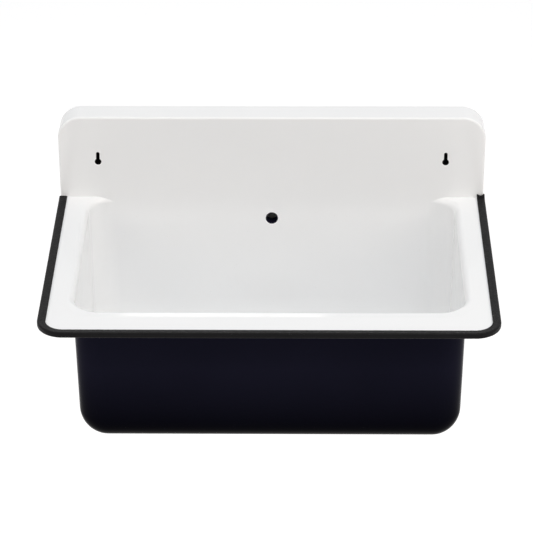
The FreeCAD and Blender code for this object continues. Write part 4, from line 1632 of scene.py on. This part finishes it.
@dataclass
class Overflow:
    """Stub behind the overflow hole, with the bead that welds it to the sheet."""

    level: float = RIM + OVERFLOW_LEVEL
    bore: float = OVERFLOW_HOLE
    wall: float = 1.5
    start: float = 0.3
    end: float = 11.0
    bead: float = 1.7
    bead_foot: float = 2.6
    bead_crown: float = 1.4
    rounds: tuple[float, ...] = (0.0, 0.3, 0.4, 0.9, 0.8, 0.0)

    def build(self) -> None:
        """Turns the stub and its bead."""
        outside = self.bore + self.wall
        crown = outside + self.bead
        outline = [(self.bore, self.start), (self.bore, self.end), (outside, self.end),
                   (outside, self.start + self.bead_foot), (crown, self.start + self.bead_crown),
                   (crown, self.start)]
        centre = (0.0, 0.0, self.level)
        mesh = lathe("overflow_stub", softened(outline, self.rounds), centre, Axis.Y, steps=64)
        placed("overflow_stub", mesh, "ground_enamel", Body.SINK, ["overflow_spigot"])


@dataclass
class Waste:
    """Strainer, waste body's ribs, threaded tail and slip nut under the drain."""

    drain: Flat = (0.0, -DRAIN_BACK)
    floor: float = RIM - BOWL_DEPTH
    flange: float = 35.0
    gauge: float = 1.5
    seat: float = 23.0
    foot: float = 21.5
    depth: float = 13.0
    dish_rounds: tuple[float, ...] = (0.0, 1.1, 1.0, 0.9, 0.3, 1.2, 1.6, 0.0)
    plate: float = 20.0
    plate_pitch: float = 2.2
    screw_hole: float = 3.15
    drip: float = 2.3
    drip_rings: tuple[tuple[float, int], ...] = ((10.5, 6), (16.5, 10))
    drip_faces: int = 28
    lip: float = 0.24
    lip_sunk: float = 0.04
    cup: float = 30.0
    shelf: float = -237.8
    gussets: int = 8
    gusset_width: float = 5.6
    gusset_height: float = 9.5
    gusset_gauge: float = 2.4
    gusset_edge: float = 1.2
    gusset_toe: float = 0.4
    gusset_sunk: Flat = (0.6, 0.3)
    gusset_ease: float = 0.3
    gusset_rounds: tuple[float, ...] = (0.0, 0.0, 0.6, 0.8, 0.0)
    tail: float = 23.9
    tail_bore: float = 20.0
    tail_mouth: float = 23.0
    tail_spigot: float = 23.5
    tail_levels: tuple[float, float, float] = (-277.9, -263.9, -260.9)
    tail_chamfer: float = 0.4
    pitch: float = 2.309
    thread: float = 1.4
    thread_rows: int = 50
    thread_gap: float = 1.6
    thread_crest: float = 1.25
    thread_flank: float = 3.1
    lead: float = 1.5
    lead_slope: float = 0.9
    collar: tuple[Flat, ...] = ((0.6, 1.3), (0.0, 1.0), (0.0, 0.2), (0.2, 0.0))
    nut_axis: float = -250.9
    nut_ends: tuple[float, float, float] = (-97.0, -83.0, -80.0)
    nut_radii: tuple[float, float, float] = (12.4, 15.4, 9.25)
    nut_rounds: tuple[float, ...] = (0.4, 0.9, 1.3, 0.5, 0.0, 0.0)
    grips: int = 12
    grip: float = 1.35
    grip_sunk: float = 0.5
    grip_gap: float = 1.4
    grip_ease: float = 0.6

    @property
    def axis(self) -> tuple[float, float, float]:
        """A point of the drain's axis."""
        return (*self.drain, 0.0)

    @property
    def bed(self) -> float:
        """Level of the strainer's plate."""
        return self.floor - self.depth

    def strainer_cup(self) -> None:
        """Turns the strainer's flanged cup."""
        under, low = self.floor - self.gauge, self.bed - self.gauge
        outline = [(self.plate, self.bed), (self.foot, self.bed), (self.seat, self.floor),
                   (self.flange, self.floor), (self.flange, under), (self.seat + self.gauge, under),
                   (self.foot + self.gauge, low), (self.plate, low)]
        mesh = lathe("strainer_cup", softened(outline, self.dish_rounds), self.axis)
        placed("strainer_cup", mesh, "strainer_steel", Body.SINK, ["strainer"])

    def strainer_plate(self) -> None:
        """Makes the perforated plate in the cup's foot."""
        loops = [circle(self.drain, self.plate, steps=96), circle(self.drain, self.screw_hole, steps=32)]
        for radius, count in self.drip_rings:
            loops += [circle(spot, self.drip, self.drip_faces) for spot in circle(self.drain, radius, count)]
        flat, faces, _ = meshed(loops, self.plate_pitch)
        surface = Surface()
        levels = (self.bed - RIM, self.bed - self.gauge - RIM)
        for level, facing in zip(levels, (1.0, -1.0)):
            for f in faces:
                surface.face([np.array((*flat[k], level)) for k in f], [UP * facing] * 3)
        for loop in loops:
            top, under = ([np.array((*spot, level)) for spot in loop] for level in levels)
            surface.strip(top, under)
        placed("strainer_plate", surface.mesh("strainer_plate"), "strainer_steel", Body.SINK)

    def hole_lips(self) -> None:
        """Sets the pressed lips round the plate's two rings of holes."""
        section = circle((self.drip + self.lip / 2.0, 0.0), self.lip, steps=10)
        for name, (radius, count) in zip(("inner_hole_lips", "outer_hole_lips"), self.drip_rings):
            place = (radius, 0.0, self.bed - self.lip_sunk)
            one = lathe(name + "_one", section, place, steps=self.drip_faces)
            lips = ringed(name, one, "strainer_steel", Axis.Z, self.axis, count)
            placed(name, smoothed(lips, degrees=60.0), "strainer_steel", Body.SINK)

    def cup_gussets(self) -> None:
        """Sets gussets round the waste body, under its flange."""
        inner, outer = self.cup - self.gusset_sunk[0], self.cup + self.gusset_width
        top, low = self.shelf + self.gusset_sunk[1], self.shelf - self.gusset_height
        outline = [(inner, top), (outer, top), (outer, self.shelf - self.gusset_edge),
                   (self.cup + self.gusset_toe, low), (inner, low)]
        half = self.gusset_gauge / 2.0
        shape = softened(outline, self.gusset_rounds, steps=3)
        one = prism("gusset_one", shape, -half, half, self.gusset_ease)
        ribs = ringed("cup_gussets", one, "waste_plastic", Axis.Z, self.axis, self.gussets,
                      math.pi / self.gussets)
        placed("cup_gussets", smoothed(ribs), "waste_plastic", Body.SINK)

    def threaded(self, turn: float) -> list[Flat]:
        """Outline of the tail at a share of the turn, with its thread.

        Args:
            turn: Share of the whole turn.

        Returns:
            Points of radius and height.
        """
        bottom, under, seat = self.tail_levels
        line = [(self.tail_bore, bottom + self.tail_chamfer), (self.tail_bore + self.tail_chamfer, bottom)]
        start = self.tail - self.lead
        for z in np.linspace(bottom, under - self.thread_gap, self.thread_rows):
            phase = (z / self.pitch - turn) % 1.0
            crest = min(1.0, max(0.0, self.thread_crest - abs(phase - 0.5) * self.thread_flank))
            radius = self.tail - self.thread * (1.0 - crest)
            radius = min(radius, start + (z - bottom) * self.lead_slope)
            line.append((max(radius, start), float(z)))
        line += [(self.tail - inwards, under - below) for inwards, below in self.collar]
        line += [(self.tail_spigot, under), (self.tail_spigot, seat), (self.tail_mouth, seat),
                 (self.tail_bore, under)]
        return line

    def threaded_tail(self) -> None:
        """Turns the tail with its thread."""
        mesh = lathe("threaded_tail", self.threaded, self.axis)
        placed("threaded_tail", smoothed(mesh, degrees=60.0), "waste_plastic", Body.SINK, ["tail_piece"])

    def slip_nut(self) -> None:
        """Turns the slip nut about the overflow branch and sets its grips."""
        first, wall, last = self.nut_ends
        bore, outside, hole = self.nut_radii
        outline = [(bore, first), (outside, first), (outside, last), (hole, last), (hole, wall), (bore, wall)]
        centre = (self.drain[0], 0.0, self.nut_axis)
        mesh = lathe("slip_nut", softened(outline, self.nut_rounds), centre, Axis.Y, steps=72)
        placed("slip_nut", mesh, "waste_plastic", Body.SINK, ["branch_nut"])
        root = outside - self.grip_sunk
        crown = arc((outside, 0.0), self.grip, -90.0, 90.0, steps=8)
        section = [(root, -self.grip), *crown, (root, self.grip)]
        one = prism("grip_one", section, first + self.grip_gap, last - self.grip_gap, self.grip_ease)
        grips = ringed("nut_grips", one, "waste_plastic", Axis.Y, centre, self.grips)
        placed("nut_grips", smoothed(grips, degrees=50.0), "waste_plastic", Body.SINK)

    def build(self) -> None:
        """Makes all its pieces."""
        self.strainer_cup()
        self.strainer_plate()
        self.hole_lips()
        self.cup_gussets()
        self.threaded_tail()
        self.slip_nut()


@dataclass
class Plug:
    """Grooved rubber stopper and the beaded steel plate on it."""

    axis: tuple[float, float, float] = (0.0, -DRAIN_BACK, 0.0)
    stem: float = 1.55
    top: float = -224.9
    bottom: float = -236.9
    roof: float = -230.4
    wide: float = 22.58
    narrow: float = 21.2
    hollow: float = 14.0
    mouth: Flat = (1.0, 1.4)
    rim_rounds: Flat = (0.0, 0.8)
    hollow_rounds: tuple[float, ...] = (0.8, 0.8, 0.6, 1.4, 0.0)
    grooves: tuple[float, ...] = (-228.2, -231.2, -234.2)
    groove: float = 0.45
    groove_steps: tuple[Flat, ...] = ((0.7, 0.0), (0.3, 1.0), (-0.3, 1.0), (-0.7, 0.0))
    groove_round: float = 0.18
    plate: float = 20.0
    plate_top: float = RIM - BOWL_DEPTH
    plate_rounds: tuple[float, ...] = (0.0, 0.15, 0.45, 0.3, 0.3, 0.3, 0.3, 0.0)
    bead: Flat = (14.6, 17.2)
    bead_depth: float = 0.3
    bead_slope: float = 0.6

    def side(self, level: float) -> float:
        """The stopper's radius at a level."""
        return self.wide + (self.narrow - self.wide) * (self.top - level) / (self.top - self.bottom)

    def stopper(self) -> None:
        """Turns the grooved stopper."""
        grooves = [(self.side(level + step) - deep * self.groove, level + step)
                   for level in self.grooves for step, deep in self.groove_steps]
        outline = [(self.stem, self.top), (self.wide, self.top), *grooves, (self.narrow, self.bottom),
                   (self.hollow + self.mouth[0], self.bottom), (self.hollow, self.bottom + self.mouth[1]),
                   (self.hollow, self.roof), (self.stem, self.roof)]
        rounds = (*self.rim_rounds, *[self.groove_round] * len(grooves), *self.hollow_rounds)
        mesh = lathe("rubber_stopper", softened(outline, rounds, steps=4), self.axis)
        placed("rubber_stopper", smoothed(mesh, degrees=50.0), "plug_rubber", Body.PLUG, ["plug_stopper"])

    def cap(self) -> None:
        """Turns the plate with its sunk bead."""
        low, high = self.bead
        sunk = self.plate_top - self.bead_depth
        outline = [(self.stem, self.top), (self.plate, self.top), (self.plate, self.plate_top),
                   (high, self.plate_top), (high - self.bead_slope, sunk), (low + self.bead_slope, sunk),
                   (low, self.plate_top), (self.stem, self.plate_top)]
        mesh = lathe("plug_cap", softened(outline, self.plate_rounds, steps=4), self.axis)
        placed("plug_cap", smoothed(mesh, degrees=50.0), "strainer_steel", Body.PLUG, ["plug_plate"])

    def build(self) -> None:
        """Makes both pieces."""
        self.stopper()
        self.cap()


# Stage


@dataclass(frozen=True)
class Lamp:
    """A soft box aimed at the bowl."""

    name: str
    place: Point
    size: Flat
    power: float
    colour: Colour = (1.03, 0.97, 0.90)
    aim: Point = (0.0, -0.15, -0.08)

    def build(self) -> None:
        """Adds the lamp."""
        data = bpy.data.lights.new(self.name, "AREA")
        data.shape = "RECTANGLE"
        data.size, data.size_y = self.size
        data.energy = self.power
        data.color = self.colour
        lamp = bpy.data.objects.new(self.name, data)
        lamp.location = self.place
        lamp.rotation_mode = "QUATERNION"
        lamp.rotation_quaternion = (Vector(self.aim) - Vector(self.place)).to_track_quat("-Z", "Y")
        lamp.visible_camera = False
        bpy.context.scene.collection.objects.link(lamp)


@dataclass
class Stage:
    """Pale floor, a near-black panel painted as the shaded wall, soft light and the camera."""

    floor_level: float = -0.88
    floor_half: float = 14.0
    floor_colours: tuple[Colour, Colour] = ((0.905, 0.885, 0.868), (0.925, 0.905, 0.888))
    floor_scale: float = 0.8
    floor_glow: float = 0.45
    shade_x: float = KEY_X * MM
    shade_half: float = 0.012
    shade_levels: Flat = (-0.046, 0.022)
    shade_depth: float = 0.0319
    # Near-black colours of the panel behind the keyholes: painted shade.
    painted_shade_colours: tuple[Colour, Colour] = ((0.010, 0.010, 0.010), (0.016, 0.016, 0.016))
    shade_scale: float = 60.0
    eye: Point = (0.033787, -2.675443, 1.35585)
    pitch: float = 29.245
    yaw: float = -0.868
    roll: float = -0.282
    lens: float = 170.12
    sensor: float = 36.0
    far: float = 100.0
    ambient: float = 0.51
    overhead: Colour = (0.80, 0.985, 1.18)
    level_light: Colour = (1.06, 0.995, 0.94)
    overhead_heights: Flat = (0.5, 1.0)
    lamps: tuple[Lamp, ...] = (
        Lamp("key", place=(0.4, -1.5, 2.3), size=(2.0, 1.6), power=25.0),
        Lamp("right", place=(1.9, -0.7, 1.25), size=(1.5, 1.3), power=14.0),
        Lamp("left", place=(-1.9, -0.7, 1.25), size=(1.5, 1.3), power=11.5),
        Lamp("back_strip", place=(-0.11, 1.5, 0.675), size=(0.38, 0.055), power=0.18,
             colour=(1.0, 0.965, 0.928)),
    )

    def panels(self, name: str, corners: Sequence[Point], nodes: Nodes) -> None:
        """Adds flat panels that aren't part of the sink.

        Args:
            name: Their name.
            corners: Four corners of each, in metres.
            nodes: Their material's nodes.
        """
        mesh = bpy.data.meshes.new(name)
        mesh.from_pydata(corners, [], [(k, k + 1, k + 2, k + 3) for k in range(0, len(corners), 4)])
        mesh.materials.append(nodes.material)
        panel = bpy.data.objects.new(name, mesh)
        bpy.context.scene.collection.objects.link(panel)

    def floor(self) -> None:
        """Adds the floor, which takes the sink's shadow."""
        nodes = Nodes("pale_floor")
        drift = nodes.noise(self.floor_scale, detail=2.0)
        nodes.feed(Base_Color=nodes.tint(drift, *self.floor_colours), Roughness=0.9, Specular_IOR_Level=0.1)
        glow = nodes.maths("MULTIPLY", nodes.seen(), self.floor_glow)
        shine = nodes.add("ShaderNodeEmission", {"Strength": glow})
        both = nodes.add("ShaderNodeAddShader", {0: nodes.shader.outputs["BSDF"],
                                                 1: shine.outputs["Emission"]})
        nodes.front_only(both.outputs["Shader"])
        half = self.floor_half
        plan = ((-half, -half), (half, -half), (half, half), (-half, half))
        self.panels("studio_floor", [(x, y, self.floor_level) for x, y in plan], nodes)

    def shade(self) -> None:
        """Adds a near-black panel behind the splashback, painted shade for the wall seen only through its
        keyholes.
        """
        nodes = Nodes("painted_shade_wall")
        drift = nodes.noise(self.shade_scale, detail=2.0)
        # The panel's near-black colour is painted shade.
        nodes.feed(Base_Color=nodes.tint(drift, *self.painted_shade_colours), Roughness=0.9, Specular_IOR_Level=0.0)
        nodes.front_only(nodes.shader.outputs["BSDF"])
        half, (low, high) = self.shade_half, self.shade_levels
        outline = ((-half, low), (half, low), (half, high), (-half, high))
        corners = [(x + dx, self.shade_depth, z) for x in (-self.shade_x, self.shade_x) for dx, z in outline]
        self.panels("wall_in_shade", corners, nodes)

    def world(self) -> None:
        """Adds the white surround: white to see and to mirror, gentler as light."""
        world = bpy.data.worlds.new("studio")
        bpy.context.scene.world = world
        world.use_nodes = True
        nodes = Tree(world.node_tree)
        way = nodes.add("ShaderNodeTexCoord").outputs["Generated"]
        height = nodes.add("ShaderNodeSeparateXYZ", {"Vector": way}).outputs["Z"]
        light = nodes.tint(nodes.span(height, self.overhead_heights), self.level_light, self.overhead)
        seen = nodes.seen()
        strength = nodes.span(seen, (0.0, 1.0), (self.ambient, 1.0))
        colour = nodes.tint(seen, light, WHITE)
        sky = nodes.add("ShaderNodeBackground", {"Color": colour, "Strength": strength})
        nodes.add("ShaderNodeOutputWorld", {"Surface": sky.outputs["Background"]})

    def camera(self) -> None:
        """Adds the camera at the photograph's place."""
        pitch, yaw, roll = (math.radians(a) for a in (self.pitch, self.yaw, self.roll))
        ahead = Vector((math.sin(yaw) * math.cos(pitch), math.cos(yaw) * math.cos(pitch), -math.sin(pitch)))
        level = Vector((math.cos(yaw), -math.sin(yaw), 0.0))
        above = level.cross(ahead)
        right = level * math.cos(roll) + above * math.sin(roll)
        up = above * math.cos(roll) - level * math.sin(roll)
        data = bpy.data.cameras.new("view")
        data.sensor_fit = "HORIZONTAL"
        data.sensor_width = self.sensor
        data.lens = self.lens
        data.clip_end = self.far
        camera = bpy.data.objects.new("view", data)
        axes = Matrix((right, up, -ahead)).transposed()
        camera.matrix_world = Matrix.Translation(self.eye) @ axes.to_4x4()
        bpy.context.scene.collection.objects.link(camera)
        bpy.context.scene.camera = camera

    def build(self) -> None:
        """Sets up the whole stage."""
        self.floor()
        self.shade()
        self.world()
        for lamp in self.lamps:
            lamp.build()
        self.camera()
        bpy.context.scene.view_settings.view_transform = "Standard"


def dress_nodes() -> None:
    """Gives every CAD node its finish."""
    slots = {part["node"]: part["material_slot"] for part in frame["record"]["subparts"]}
    for name, node in frame["nodes"].items():
        for slot in node.material_slots:
            slot.material = FINISHES[slots[name]].material()


def main() -> None:
    """Builds the pieces, dresses the rest and sets the stage."""
    logging.basicConfig(level=logging.INFO)
    dress_nodes()
    for assembly in (Pressing, EdgeTrim, Overflow, Waste, Plug, Stage):
        assembly().build()


if __name__ == "__main__":
    main()
